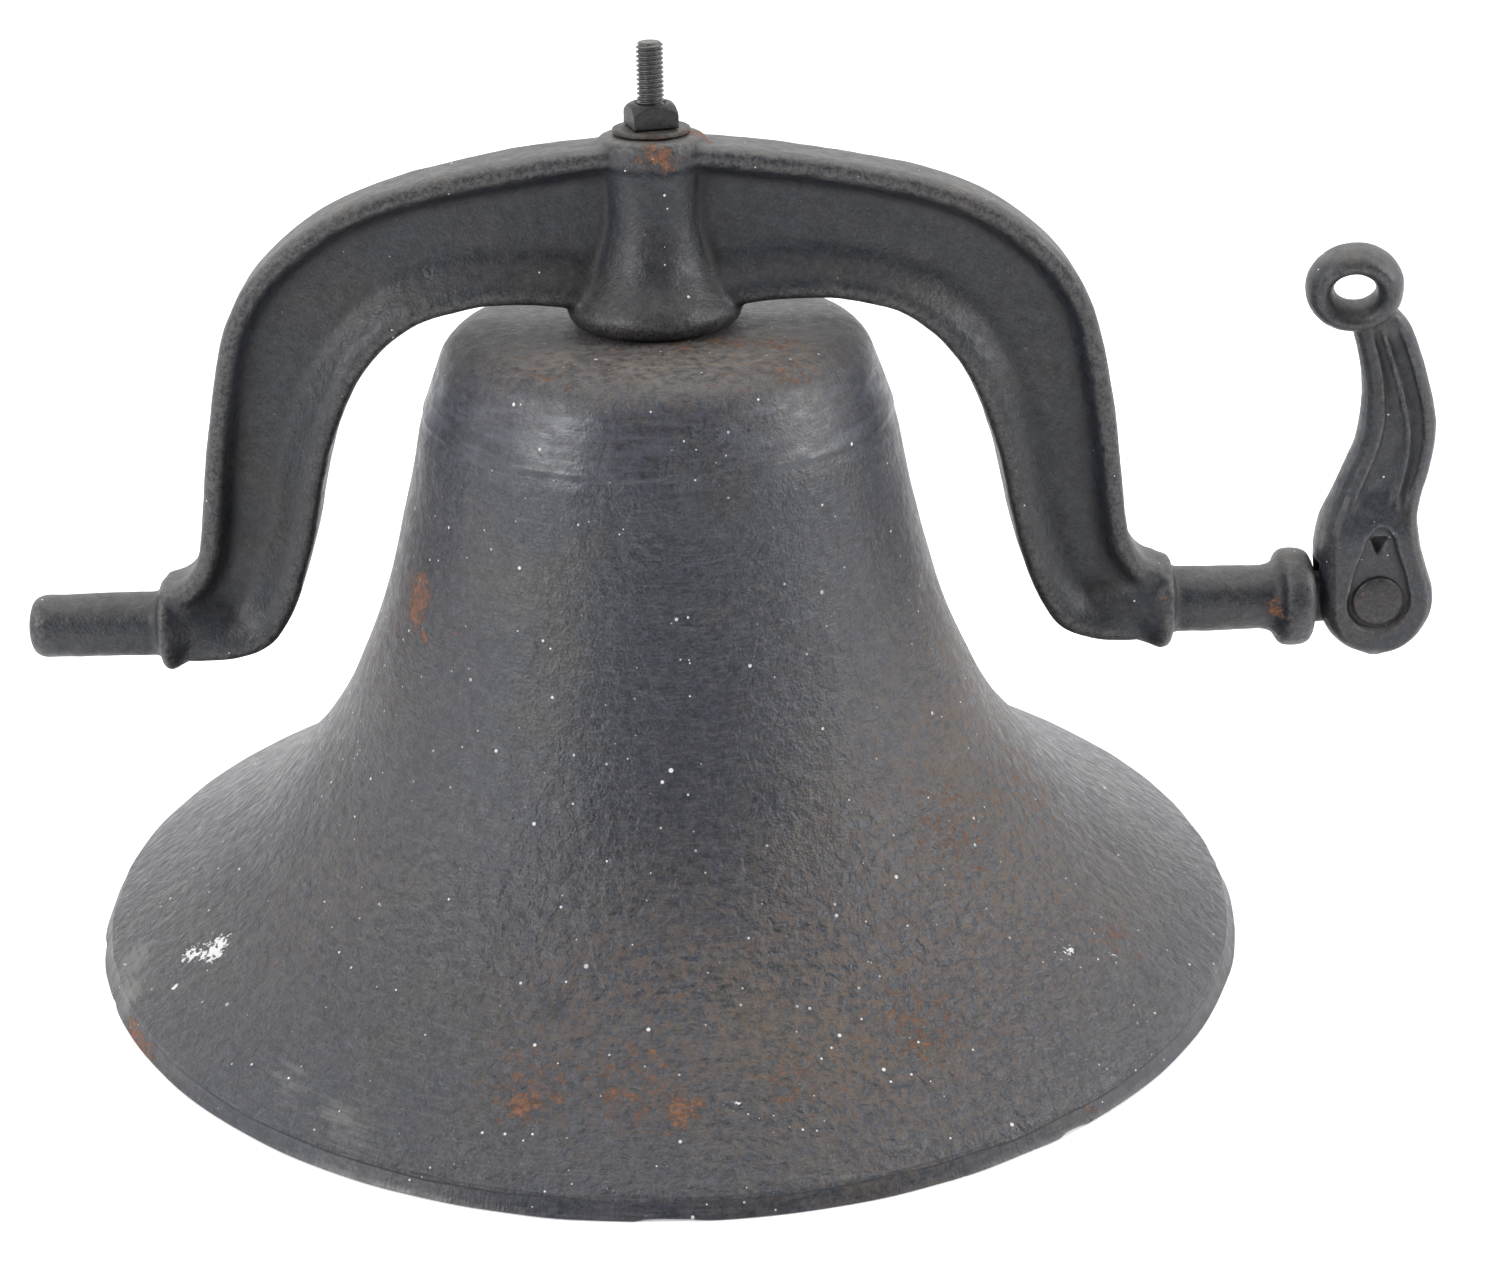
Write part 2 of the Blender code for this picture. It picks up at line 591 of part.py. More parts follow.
def make_clapper():
    """Ball, tapered shank and flat eye, cast in one and drawn round the pivot."""
    ball_z = BALL_HEIGHT - PIVOT_HEIGHT
    ball = []
    for angle in range(68, -61, -8):
        turn = math.radians(angle)
        ball.append((BALL_RADIUS * math.cos(turn), ball_z + BALL_RADIUS * math.sin(turn)))
    tail = ball_z - BALL_RADIUS
    neck = (7.0 * MM, ball_z + BALL_RADIUS + 12 * MM)
    profile = [(0.0, -6 * MM), (4.4 * MM, -6 * MM), (5.2 * MM, -20 * MM), neck]
    profile += ball + [(12.5 * MM, tail + 2.0 * MM), (10.5 * MM, tail - 1.6 * MM), (0.0, tail - 2.4 * MM)]
    clapper = spun("clapper", profile)
    eye = rod("eye", CLAPPER_EYE_RADIUS, -CLAPPER_EYE_HALF, CLAPPER_EYE_HALF, axis="X", steps=24)
    combine(clapper, eye, "UNION")
    for side in (-1, 1):
        cheek = slab("cheek", [(side * CLAPPER_EYE_HALF, -13 * MM), (side * 0.03, -13 * MM),
                               (side * 0.03, 0.03), (side * CLAPPER_EYE_HALF, 0.03)], -0.03, 0.03)
        combine(clapper, cheek, "DIFFERENCE")
    hole = rod("hole", CLAPPER_PIN_RADIUS + GAP, -0.03, 0.03, axis="X")
    return combine(clapper, hole, "DIFFERENCE")


def make_clapper_pin():
    """Headed pin through the clevis, drilled for its cotter."""
    head = CLEVIS_RADIUS + GAP
    end = CLAPPER_PIN_END
    radius = CLAPPER_PIN_RADIUS
    pin = spun("clapper_pin", [
        (0.0, end), (radius - 0.7 * MM, end), (radius, end - 0.8 * MM), (radius, -head),
        (CLAPPER_PIN_HEAD_RADIUS, -head), (CLAPPER_PIN_HEAD_RADIUS, -head - 2.0 * MM),
        (CLAPPER_PIN_HEAD_RADIUS - 0.7 * MM, -head - 2.6 * MM), (0.0, -head - 2.6 * MM),
    ][::-1], 20, axis="X")
    hole = rod("hole", COTTER_RADIUS + GAP, -0.02, 0.02, centre=(COTTER_X, 0, 0), steps=12)
    return combine(pin, hole, "DIFFERENCE")


def make_cotter():
    """Split pin as one round wire: eye on top, straight leg, tail bent round."""
    eye_radius = 2.4 * MM
    eye_height = CLAPPER_PIN_RADIUS + 3.4 * MM
    points = [(0.0, 3.2 * MM, -7.6 * MM), (0.0, 1.4 * MM, -7.0 * MM), (0.0, 0.3 * MM, -5.2 * MM),
              (0.0, 0.0, -3.6 * MM)]
    points.append((0.0, 0.0, eye_height - eye_radius - 0.4 * MM))
    for k in range(11):
        angle = math.radians(-70 + 27 * k)
        points.append((0.0, eye_radius * math.cos(angle), eye_height + eye_radius * math.sin(angle)))
    curve = bpy.data.curves.new("cotter_pin", "CURVE")
    curve.dimensions = "3D"
    curve.bevel_depth = COTTER_RADIUS
    curve.bevel_resolution = 2
    curve.use_fill_caps = True
    spline = curve.splines.new("POLY")
    spline.points.add(len(points) - 1)
    for target, point in zip(spline.points, points):
        target.co = (*point, 1.0)
    obj = bpy.data.objects.new("cotter_pin", curve)
    bpy.context.scene.collection.objects.link(obj)
    return obj


# ---------------------------------------------------------------- assembly

def build():
    clear_scene()
    bell_axis = make_empty("bell_axis", (AXIS_X, 0.0, 0.0))
    lever_axis = make_empty("lever_axis", LEVER_PIN, bell_axis)
    clapper_axis = make_empty("clapper_axis", (0.0, 0.0, PIVOT_HEIGHT), bell_axis)

    bell_paint = make_material("bell_paint", (0.062, 0.066, 0.074), 0.55, 0.2)
    yoke_paint = make_material("yoke_paint", (0.050, 0.054, 0.062), 0.5, 0.2)
    lever_paint = make_material("lever_paint", (0.075, 0.073, 0.072), 0.6, 0.2)
    clapper_iron = make_material("clapper_iron", (0.07, 0.055, 0.045), 0.7, 0.4)
    bolt_steel = make_material("bolt_steel", (0.16, 0.155, 0.15), 0.45, 0.8)
    washer_steel = make_material("washer_steel", (0.14, 0.12, 0.10), 0.55, 0.7)
    pin_steel = make_material("pin_steel", (0.10, 0.085, 0.08), 0.55, 0.6)

    finish_part(make_bell(), bell_paint, bell_axis)
    finish_part(make_yoke(), yoke_paint, bell_axis)
    finish_part(make_hanger_bolt(), bolt_steel, bell_axis)
    finish_part(make_nut(), bolt_steel.copy(), bell_axis)
    low = PAD_TOP + GAP
    washer = ring_plate("flat_washer", WASHER_RADIUS, WASHER_HOLE, low, low + WASHER_THICKNESS)
    finish_part(washer, washer_steel, bell_axis)
    low, high = crown_washer_levels()
    washer = ring_plate("crown_washer", CROWN_WASHER_RADIUS, WASHER_HOLE, low, high)
    finish_part(washer, washer_steel.copy(), bell_axis)
    finish_part(make_clapper(), clapper_iron, clapper_axis)
    finish_part(make_clapper_pin(), pin_steel, clapper_axis)
    cotter = make_cotter()
    cotter.data.materials.append(pin_steel.copy())
    cotter.parent = clapper_axis
    cotter.location = (COTTER_X, 0.0, 0.0)
    finish_part(make_lever(), lever_paint, lever_axis)
    finish_part(make_lever_pin(), pin_steel.copy(), lever_axis)


build()
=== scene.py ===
"""Yard dinner bell: fine surfaces, materials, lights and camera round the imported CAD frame.

Pieces are drawn in millimetres round the bell's own axis (z = 0 is the rim's face) and are put
into the frame, in metres, when their mesh is made. The lever is drawn round its pin and the
clapper round its pivot. The axis, the pin, the pivot and the stacked heights come from the frame.
"""
import json
import math

import bmesh
import bpy
import numpy as np
from mathutils import Matrix, Vector


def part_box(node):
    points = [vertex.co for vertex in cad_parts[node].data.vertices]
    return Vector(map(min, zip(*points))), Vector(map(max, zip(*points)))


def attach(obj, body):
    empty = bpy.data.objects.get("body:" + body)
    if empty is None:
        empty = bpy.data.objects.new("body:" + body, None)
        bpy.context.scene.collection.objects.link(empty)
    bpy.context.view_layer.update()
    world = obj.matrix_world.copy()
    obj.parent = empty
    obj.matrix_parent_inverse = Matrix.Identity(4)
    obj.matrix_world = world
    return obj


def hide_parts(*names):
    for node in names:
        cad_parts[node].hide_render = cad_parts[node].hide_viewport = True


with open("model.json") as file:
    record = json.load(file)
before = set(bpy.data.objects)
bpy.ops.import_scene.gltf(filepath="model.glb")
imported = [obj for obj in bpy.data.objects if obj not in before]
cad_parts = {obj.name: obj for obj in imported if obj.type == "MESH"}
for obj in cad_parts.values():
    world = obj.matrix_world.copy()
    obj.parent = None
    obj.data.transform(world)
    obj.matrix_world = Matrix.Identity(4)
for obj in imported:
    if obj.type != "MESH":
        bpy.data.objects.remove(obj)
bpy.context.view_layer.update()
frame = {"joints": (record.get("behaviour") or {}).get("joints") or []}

MM = 0.001
GAP = 0.3
JOINTS = {joint["name"]: Vector(joint["pos_m"]) for joint in frame["joints"]}
PIVOT = JOINTS["clapper_swing"]
PIN = JOINTS["lever_fold"]
AXIS = Vector((PIVOT.x, 0.0, 0.0))


def height_mm(node, end):
    """Height of a CAD node's lowest (0) or highest (1) point, in mm."""
    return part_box(node)[end].z / MM


# Heights and sizes that neighbours share, in mm, read from the frame
CROWN_TOP = height_mm("bell", 1)
RIM_RADIUS = (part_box("bell")[1].x - AXIS.x) / MM
PAD_TOP = height_mm("flat_washer", 0) - GAP
WASHER_TOP = height_mm("flat_washer", 1)
NUT_BOTTOM = height_mm("square_nut", 0)
NUT_TOP = height_mm("square_nut", 1)
STUD_TOP = height_mm("hanger_bolt", 1)
CEILING = height_mm("crown_washer", 1) + GAP
CROWN_WASHER_BOTTOM = height_mm("crown_washer", 0)
PIVOT_HEIGHT = PIVOT.z / MM
LEVER_X = (PIN.x - AXIS.x) / MM
LEVER_Z = PIN.z / MM

# Bell
RIM_BAND = 6.2
RIM_SLANT = 3.2
RIM_FACE_INNER = 208.8
WAIST_WALL = 6.2
BOLT_HOLE_RADIUS = 5.5
AROUND = 384

# Yoke
ARCH_SHIFT = 1.3
YOKE_HALF_DEPTH = 14.0
WEB_HALF_DEPTH = 5.0
JOURNAL_HEIGHT = 118.0
JOURNAL_RADIUS = 11.9
COLLAR_RADIUS = 17.6
LEFT_COLLAR_END = 185.0
LEFT_JOURNAL_END = 234.0
RIGHT_COLLAR_END = 188.0
RIGHT_JOURNAL_END = 228.0
OUTER_COLLAR_END = 240.4
OUTER_COLLAR_RADIUS = 18.3
LUG_HALF_DEPTH = 4.6
LUG_RADIUS = 12.5
LUG_HALF_HEIGHT = 9.0
FACING_RADIUS = 22.8  # room cut beside the lug for the fork's foot

# Lever
FORK_HALF_DEPTH = 12.5
ARM_HALF_DEPTH = 9.0
ARM_END_HALF_DEPTH = 6.2
FORK_RADIUS = 21.2
FORK_CENTRE = (0.9, -1.0)
SLOT_RADIUS = 14.0
LEVER_DRAFT = 4.6
CHANNEL_DEPTH = 2.4
RECESS_DEPTH = 2.4
PIN_RADIUS = 6.2
PIN_HEAD_RADIUS = 9.4
PIN_HEAD_THICKNESS = 1.9
EYE_CENTRE = (-15.0, 0.0, 116.6)
EYE_RING_RADIUS = 12.2
EYE_SECTION = (4.9, 9.0)
EYE_LEAN = math.radians(12.0)
EYE_TURN = math.radians(-13.0)
EYE_HEIGHT_SHARE = 0.93

# Bolt, nut and washers
STUD_RADIUS = 4.76
THREAD_PITCH = 25.4 / 16
NUT_ACROSS_FLATS = 15.9
NUT_TURN = math.radians(14.0)
WASHER_RADIUS = 13.5
WASHER_HOLE = 5.3
CROWN_WASHER_RADIUS = 17.0

# Clapper and its clevis
CLEVIS_RADIUS = 12.0
CLEVIS_GAP_HALF = 4.6
CLEVIS_HALF_WIDTH = 9.0
CLAPPER_EYE_RADIUS = 9.0
CLAPPER_EYE_HALF = 4.2
CLAPPER_PIN_RADIUS = 3.1
CLAPPER_PIN_HEAD_RADIUS = 5.2
CLAPPER_PIN_END = 18.0
COTTER_X = 15.0
BALL_RADIUS = 29.0
BALL_HEIGHT = 42.0


# ---------------------------------------------------------------- curves and small tools

def eased(value, low, high):
    """0 below low, 1 above high, and a smooth step between. Works on numbers and arrays."""
    share = np.clip((value - low) / (high - low), 0.0, 1.0)
    return share * share * (3.0 - 2.0 * share)


def smooth_line(points, steps):
    """A centripetal Catmull-Rom line through points of any dimension, ends included."""
    points = np.array(points, dtype=float)
    padded = np.vstack([2 * points[0] - points[1], points, 2 * points[-1] - points[-2]])
    knots = np.concatenate([[0.0], np.cumsum(np.linalg.norm(np.diff(padded, axis=0), axis=1) ** 0.5)])
    line = []
    for i in range(1, len(padded) - 2):
        p0, p1, p2, p3 = padded[i - 1:i + 3]
        t0, t1, t2, t3 = knots[i - 1:i + 3]
        for t in np.linspace(t1, t2, steps, endpoint=False):
            a1 = ((t1 - t) * p0 + (t - t0) * p1) / (t1 - t0)
            a2 = ((t2 - t) * p1 + (t - t1) * p2) / (t2 - t1)
            a3 = ((t3 - t) * p2 + (t - t2) * p3) / (t3 - t2)
            b1 = ((t2 - t) * a1 + (t - t0) * a2) / (t2 - t0)
            b2 = ((t3 - t) * a2 + (t - t1) * a3) / (t3 - t1)
            line.append(((t2 - t) * b1 + (t - t1) * b2) / (t2 - t1))
    line.append(points[-1])
    return np.array(line)


def respaced(line, spacing):
    """Points along a line of (radius, height), spacing(radius, height) apart."""
    lengths = np.concatenate([[0.0], np.cumsum(np.linalg.norm(np.diff(line, axis=0), axis=1))])
    stops = [0.0]
    while stops[-1] < lengths[-1]:
        here = [np.interp(stops[-1], lengths, line[:, k]) for k in (0, 1)]
        stops.append(stops[-1] + spacing(*here))
    stops = np.array(stops) * lengths[-1] / stops[-1]
    return np.stack([np.interp(stops, lengths, line[:, k]) for k in (0, 1)], axis=1)


def arc(centre, radius, start_deg, end_deg, steps):
    """Points on an arc in the drawing plane, from start to end."""
    points = []
    for angle in np.radians(np.linspace(start_deg, end_deg, steps + 1)):
        points.append((centre[0] + radius * math.cos(angle), centre[1] + radius * math.sin(angle)))
    return points


def waves(points, length, seed, count=26):
    """A smooth random field over points (mm), about -1 to 1, with bumps about length / 2 wide."""
    random = np.random.default_rng(seed)
    directions = random.normal(size=(count, 3))
    directions /= np.linalg.norm(directions, axis=1, keepdims=True)
    numbers = math.tau / (length * random.uniform(0.7, 1.5, count))
    phases = random.uniform(0.0, math.tau, count)
    field = np.zeros(len(points))
    for direction, number, phase in zip(directions, numbers, phases):
        field += np.sin(points @ direction * number + phase)
    return field / math.sqrt(count) * 0.8


# ---------------------------------------------------------------- mesh tools

def link(obj):
    bpy.context.scene.collection.objects.link(obj)
    return obj


def from_bmesh(name, bm):
    """Object from a bmesh drawn in mm, facing outward."""
    bmesh.ops.recalc_face_normals(bm, faces=bm.faces)
    if bm.calc_volume(signed=True) < 0.0:
        bmesh.ops.reverse_faces(bm, faces=bm.faces)
    mesh = bpy.data.meshes.new(name)
    bm.to_mesh(mesh)
    bm.free()
    return link(bpy.data.objects.new(name, mesh))


def turned(name, profile, steps, closed=False, axis="Z", centre=(0.0, 0.0, 0.0)):
    """Turn (radius, height) points into a solid. An open profile starts and ends on the axis."""
    bm = bmesh.new()
    verts = [bm.verts.new((radius, 0.0, height)) for radius, height in profile]
    edges = [bm.edges.new(pair) for pair in zip(verts, verts[1:])]
    if closed:
        edges.append(bm.edges.new((verts[-1], verts[0])))
    bmesh.ops.spin(bm, geom=verts + edges, cent=(0, 0, 0), axis=(0, 0, 1),
                   angle=math.tau, steps=steps, use_merge=True)
    bmesh.ops.remove_doubles(bm, verts=bm.verts, dist=1e-4)
    turn = {
        "Z": Matrix.Identity(4),
        "X": Matrix.Rotation(math.pi / 2, 4, "Y"),
        "Y": Matrix.Rotation(-math.pi / 2, 4, "X"),
    }[axis]
    bm.transform(Matrix.Translation(centre) @ turn)
    return from_bmesh(name, bm)


def rod(name, radius, low, high, axis="Z", centre=(0.0, 0.0, 0.0), steps=64):
    profile = [(0.0, high), (radius, high), (radius, low), (0.0, low)]
    return turned(name, profile, steps, axis=axis, centre=centre)


def skinned(name, rings):
    """Join equal-length rings of 3-D points into one solid, closed at its two ends."""
    bm = bmesh.new()
    loops = [[bm.verts.new(point) for point in ring] for ring in rings]
    for near, far in zip(loops, loops[1:]):
        for i, start in enumerate(near):
            j = (i + 1) % len(near)
            bm.faces.new((start, near[j], far[j], far[i]))
    bm.faces.new(loops[0])
    bm.faces.new(loops[-1][::-1])
    bmesh.ops.triangulate(bm, faces=bm.faces)
    return from_bmesh(name, bm)


def slab(name, outline, low, high):
    """Extrude an XZ outline along Y from low to high."""
    return skinned(name, [[(x, depth, z) for x, z in outline] for depth in (low, high)])


def tube_grid(name, rows, cap=False):
    """Triangles over an array of rows x around x 3. The rows close on themselves unless cap is set."""
    count, around = rows.shape[:2]
    index = np.arange(count * around).reshape(count, around)
    below = index if not cap else index[:-1]
    above = np.roll(index, -1, axis=0) if not cap else index[1:]
    beside, across = np.roll(below, -1, 1), np.roll(above, -1, 1)
    faces = np.stack([below, beside, across], axis=-1).reshape(-1, 3).tolist()
    faces += np.stack([below, across, above], axis=-1).reshape(-1, 3).tolist()
    if cap:
        faces += [index[0][::-1].tolist(), index[-1].tolist()]
    mesh = bpy.data.meshes.new(name)
    mesh.from_pydata(rows.reshape(-1, 3).tolist(), [], faces)
    mesh.validate()
    return link(bpy.data.objects.new(name, mesh))


def applied(obj, modifier):
    """Bake one modifier into the object's mesh."""
    depsgraph = bpy.context.evaluated_depsgraph_get()
    result = bpy.data.meshes.new_from_object(obj.evaluated_get(depsgraph))
    obj.modifiers.remove(modifier)
    old = obj.data
    obj.data = result
    bpy.data.meshes.remove(old)
    return obj


def combine(target, operand, operation):
    """Apply one Boolean to target and remove the operand."""
    modifier = target.modifiers.new("combine", "BOOLEAN")
    modifier.operation = operation
    modifier.solver = "EXACT"
    modifier.object = operand
    applied(target, modifier)
    bpy.data.objects.remove(operand, do_unlink=True)
    return target


def heaped(name, solids):
    """Overlapping solids in one mesh. cast() then fuses them."""
    bm = bmesh.new()
    for solid in solids:
        bm.from_mesh(solid.data)
        bpy.data.objects.remove(solid, do_unlink=True)
    mesh = bpy.data.meshes.new(name)
    bm.to_mesh(mesh)
    bm.free()
    return link(bpy.data.objects.new(name, mesh))


def cast(obj, voxel, smoothing):
    """Even out a solid to small quads, then round its edges and corners as sand casting does."""
    modifier = obj.modifiers.new("even", "REMESH")
    modifier.mode = "VOXEL"
    modifier.voxel_size = voxel
    modifier.adaptivity = 0.0
    applied(obj, modifier)
    modifier = obj.modifiers.new("round", "SMOOTH")
    modifier.factor = 0.5
    modifier.iterations = smoothing
    return applied(obj, modifier)


def vertex_array(obj):
    points = np.zeros(len(obj.data.vertices) * 3)
    obj.data.vertices.foreach_get("co", points)
    return points.reshape(-1, 3)


def normal_array(obj):
    normals = np.zeros(len(obj.data.vertices) * 3)
    obj.data.vertex_normals.foreach_get("vector", normals)
    return normals.reshape(-1, 3)


def roughened(obj, *layers):
    """Push the surface in and out along its normals. A layer is (bump length, height, seed)."""
    points = vertex_array(obj)
    push = sum(height * waves(points, length, seed) for length, height, seed in layers)
    points += normal_array(obj) * push[:, None]
    obj.data.vertices.foreach_set("co", points.ravel())
    obj.data.update()
    return obj


def neighbour_mean(edges, values):
    """Mean of each vertex's neighbours."""
    total = np.zeros_like(values)
    count = np.zeros(len(values))
    for here, there in ((edges[:, 0], edges[:, 1]), (edges[:, 1], edges[:, 0])):
        np.add.at(total, here, values[there])
        np.add.at(count, here, 1.0)
    return total / np.maximum(count, 1.0).reshape((-1,) + (1,) * (values.ndim - 1))


def mark(obj, name, values):
    """Store one number for each vertex, for the materials to read."""
    attribute = obj.data.attributes.new(name, "FLOAT", "POINT")
    attribute.data.foreach_set("value", np.asarray(values, dtype=np.float32))


def mark_edges(obj, reach, spread=6):
    """Attribute "edge": near 1 on proud edges, near -1 in corners, 0 on plain stretches."""
    edges = np.zeros(len(obj.data.edges) * 2, dtype=np.int64)
    obj.data.edges.foreach_get("vertices", edges)
    edges = edges.reshape(-1, 2)
    points = vertex_array(obj)
    blurred = points
    for _ in range(spread):
        blurred = neighbour_mean(edges, blurred)
    proud = np.einsum("ij,ij->i", points - blurred, normal_array(obj))
    for _ in range(2):
        proud = neighbour_mean(edges, proud)
    mark(obj, "edge", np.clip(proud / reach, -1.0, 1.0))


def spots_field(points, spots):
    """Soft blobs, each (x, y, z, size, strength), added up and kept under 1."""
    field = np.zeros(len(points))
    for x, y, z, size, strength in spots:
        distance = np.linalg.norm(points - np.array((x, y, z)), axis=1)
        field += strength * np.exp(-(distance / size) ** 2)
    return np.clip(field, 0.0, 1.0)


def placed(obj, origin, sharp_angle=None):
    """From mm round origin to metres in the frame, shaded smooth."""
    obj.data.transform(Matrix.Translation(origin) @ Matrix.Scale(MM, 4))
    obj.data.shade_smooth()
    if sharp_angle is not None:
        obj.data.set_sharp_from_angle(angle=math.radians(sharp_angle))
    return obj


def finish_piece(obj, node, body, material):
    """Dress a piece, let it stand for its CAD node and ride with the node's body."""
    obj.data.materials.clear()
    obj.data.materials.append(material)
    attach(obj, body)
    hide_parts(node)
    return obj


# ---------------------------------------------------------------- shader tools

class Shader:
    """Short ways to wire one material. Positions inside are in millimetres."""

    def __init__(self, name):
        self.material = bpy.data.materials.new(name)
        self.material.use_nodes = True
        self.tree = self.material.node_tree
        self.surface = self.tree.nodes["Principled BSDF"]
        coordinates = self.tree.nodes.new("ShaderNodeTexCoord")
        self.place = self.vector_math("SCALE", coordinates.outputs["Object"], scale=1.0 / MM)

    def node(self, kind, **settings):
        made = self.tree.nodes.new("ShaderNode" + kind)
        for key, value in settings.items():
            setattr(made, key, value)
        return made

    def feed(self, socket, value):
        if isinstance(value, bpy.types.NodeSocket):
            self.tree.links.new(value, socket)
        elif isinstance(value, tuple) and len(value) == 3 and socket.type == "RGBA":
            socket.default_value = (*value, 1.0)
        else:
            socket.default_value = value

    def vector_math(self, operation, first, second=None, scale=None):
        made = self.node("VectorMath", operation=operation)
        self.feed(made.inputs[0], first)
        if second is not None:
            self.feed(made.inputs[1], second)
        if scale is not None:
            made.inputs["Scale"].default_value = scale
        scalar = operation in ("LENGTH", "DISTANCE", "DOT_PRODUCT")
        return made.outputs["Value" if scalar else "Vector"]

    def math(self, operation, first, second=None):
        made = self.node("Math", operation=operation)
        self.feed(made.inputs[0], first)
        if second is not None:
            self.feed(made.inputs[1], second)
        return made.outputs[0]

    def add(self, *values):
        total = values[0]
        for value in values[1:]:
            total = self.math("ADD", total, value)
        return total

    def times(self, *values):
        total = values[0]
        for value in values[1:]:
            total = self.math("MULTIPLY", total, value)
        return total

    def step(self, value, low, high, to_low=0.0, to_high=1.0):
        """Smooth step from to_low at low to to_high at high."""
        made = self.node("MapRange", interpolation_type="SMOOTHSTEP")
        for socket, number in zip(made.inputs, (value, low, high, to_low, to_high)):
            self.feed(socket, number)
        return made.outputs["Result"]

    def noise(self, size, detail=3.0, roughness=0.55, place=None, warp=0.0):
        """Noise from 0 to 1 whose features are about size mm wide."""
        made = self.node("TexNoise")
        self.feed(made.inputs["Vector"], self.place if place is None else place)
        made.inputs["Scale"].default_value = 1.0 / size
        made.inputs["Detail"].default_value = detail
        made.inputs["Roughness"].default_value = roughness
        made.inputs["Distortion"].default_value = warp
        return made.outputs["Factor" if "Factor" in made.outputs else "Fac"]

    def cells(self, size):
        """Distance to the nearest of points about size mm apart, and two random numbers of its cell."""
        made = self.node("TexVoronoi")
        self.feed(made.inputs["Vector"], self.place)
        made.inputs["Scale"].default_value = 1.0 / size
        made.inputs["Randomness"].default_value = 1.0
        parts = self.node("SeparateColor")
        self.feed(parts.inputs[0], made.outputs["Color"])
        return made.outputs["Distance"], parts.outputs[0], parts.outputs[1]

    def flecks(self, size, share, radius):
        """Round specks: in a share of the cells, at most radius cells wide."""
        distance, lot, width = self.cells(size)
        chosen = self.step(lot, share + 0.004, share)
        edge = self.times(width, radius)
        inside = self.step(self.math("SUBTRACT", edge, distance), 0.0, 0.25 * radius)
        return self.times(chosen, inside)

    def blend(self, factor, first, second, mode="MIX"):
        made = self.node("Mix", data_type="RGBA", blend_type=mode)
        self.feed(made.inputs["Factor"], factor)
        self.feed(made.inputs["A"], first)
        self.feed(made.inputs["B"], second)
        return made.outputs["Result"]

    def between(self, factor, first, second):
        made = self.node("Mix", data_type="FLOAT")
        self.feed(made.inputs["Factor"], factor)
        self.feed(made.inputs["A"], first)
        self.feed(made.inputs["B"], second)
        return made.outputs["Result"]

    def attribute(self, name):
        return self.node("Attribute", attribute_name=name).outputs["Fac"]

    def split(self, vector):
        made = self.node("SeparateXYZ")
        self.feed(made.inputs[0], vector)
        return made.outputs

    def up(self):
        """How far the surface faces up, in the piece's own frame."""
        geometry = self.node("NewGeometry")
        turn = self.node("VectorTransform", vector_type="NORMAL", convert_from="WORLD", convert_to="OBJECT")
        self.feed(turn.inputs[0], geometry.outputs["Normal"])
        return self.split(turn.outputs[0])[2]

    def relief(self, height_in_mm):
        """Fine relief that is too small for the mesh."""
        made = self.node("Bump")
        made.inputs["Strength"].default_value = 1.0
        made.inputs["Distance"].default_value = MM
        self.feed(made.inputs["Height"], height_in_mm)
        self.feed(self.surface.inputs["Normal"], made.outputs["Normal"])

    def done(self, colour, roughness, metallic=0.0):
        self.feed(self.surface.inputs["Base Color"], colour)
        self.feed(self.surface.inputs["Roughness"], roughness)
        self.feed(self.surface.inputs["Metallic"], metallic)
        return self.material


# Colours, linear
PAINT_COOL = (0.022, 0.0245, 0.034)
PAINT_WARM = (0.031, 0.0295, 0.030)
# dark paint for pits, also used as painted shade in the iron's corners and creases
DARK_PAINT_AND_SHADE = (0.012, 0.012, 0.013)
DUST = (0.235, 0.215, 0.190)
RUST_DARK = (0.085, 0.036, 0.018)
RUST_BRIGHT = (0.215, 0.088, 0.040)
CHALK = (0.700, 0.710, 0.700)
SCUFF = (0.190, 0.190, 0.180)


def rust_colour(shader, size):
    return shader.blend(shader.step(shader.noise(size, 4, 0.6), 0.35, 0.65), RUST_DARK, RUST_BRIGHT)


def paint_colour(shader, drift, shade=1.0):
    """Old dark paint: slow drift from cool to brownish, and mottling down to the grain."""
    slow = shader.step(shader.noise(drift, 3, 0.5, warp=0.6), 0.46, 0.76)
    colour = shader.blend(slow, PAINT_COOL, PAINT_WARM)
    mottle = shader.step(shader.noise(3.0, 5, 0.7), 0.32, 0.68, 0.66, 1.36)
    grain = shader.step(shader.noise(0.9, 2, 0.6), 0.3, 0.7, 0.60 * shade, 1.44 * shade)
    return shader.blend(1.0, colour, grey(shader, shader.times(mottle, grain)), "MULTIPLY")


def grey(shader, value):
    made = shader.node("CombineXYZ")
    for socket in made.inputs:
        shader.feed(socket, value)
    return made.outputs[0]


def layered(shader, colour, roughness, layers):
    """Lay coats over a base: each is (mask, colour, roughness)."""
    for mask, coat, coat_roughness in layers:
        colour = shader.blend(mask, colour, coat)
        roughness = shader.between(mask, roughness, coat_roughness)
    return colour, roughness


# ---------------------------------------------------------------- materials

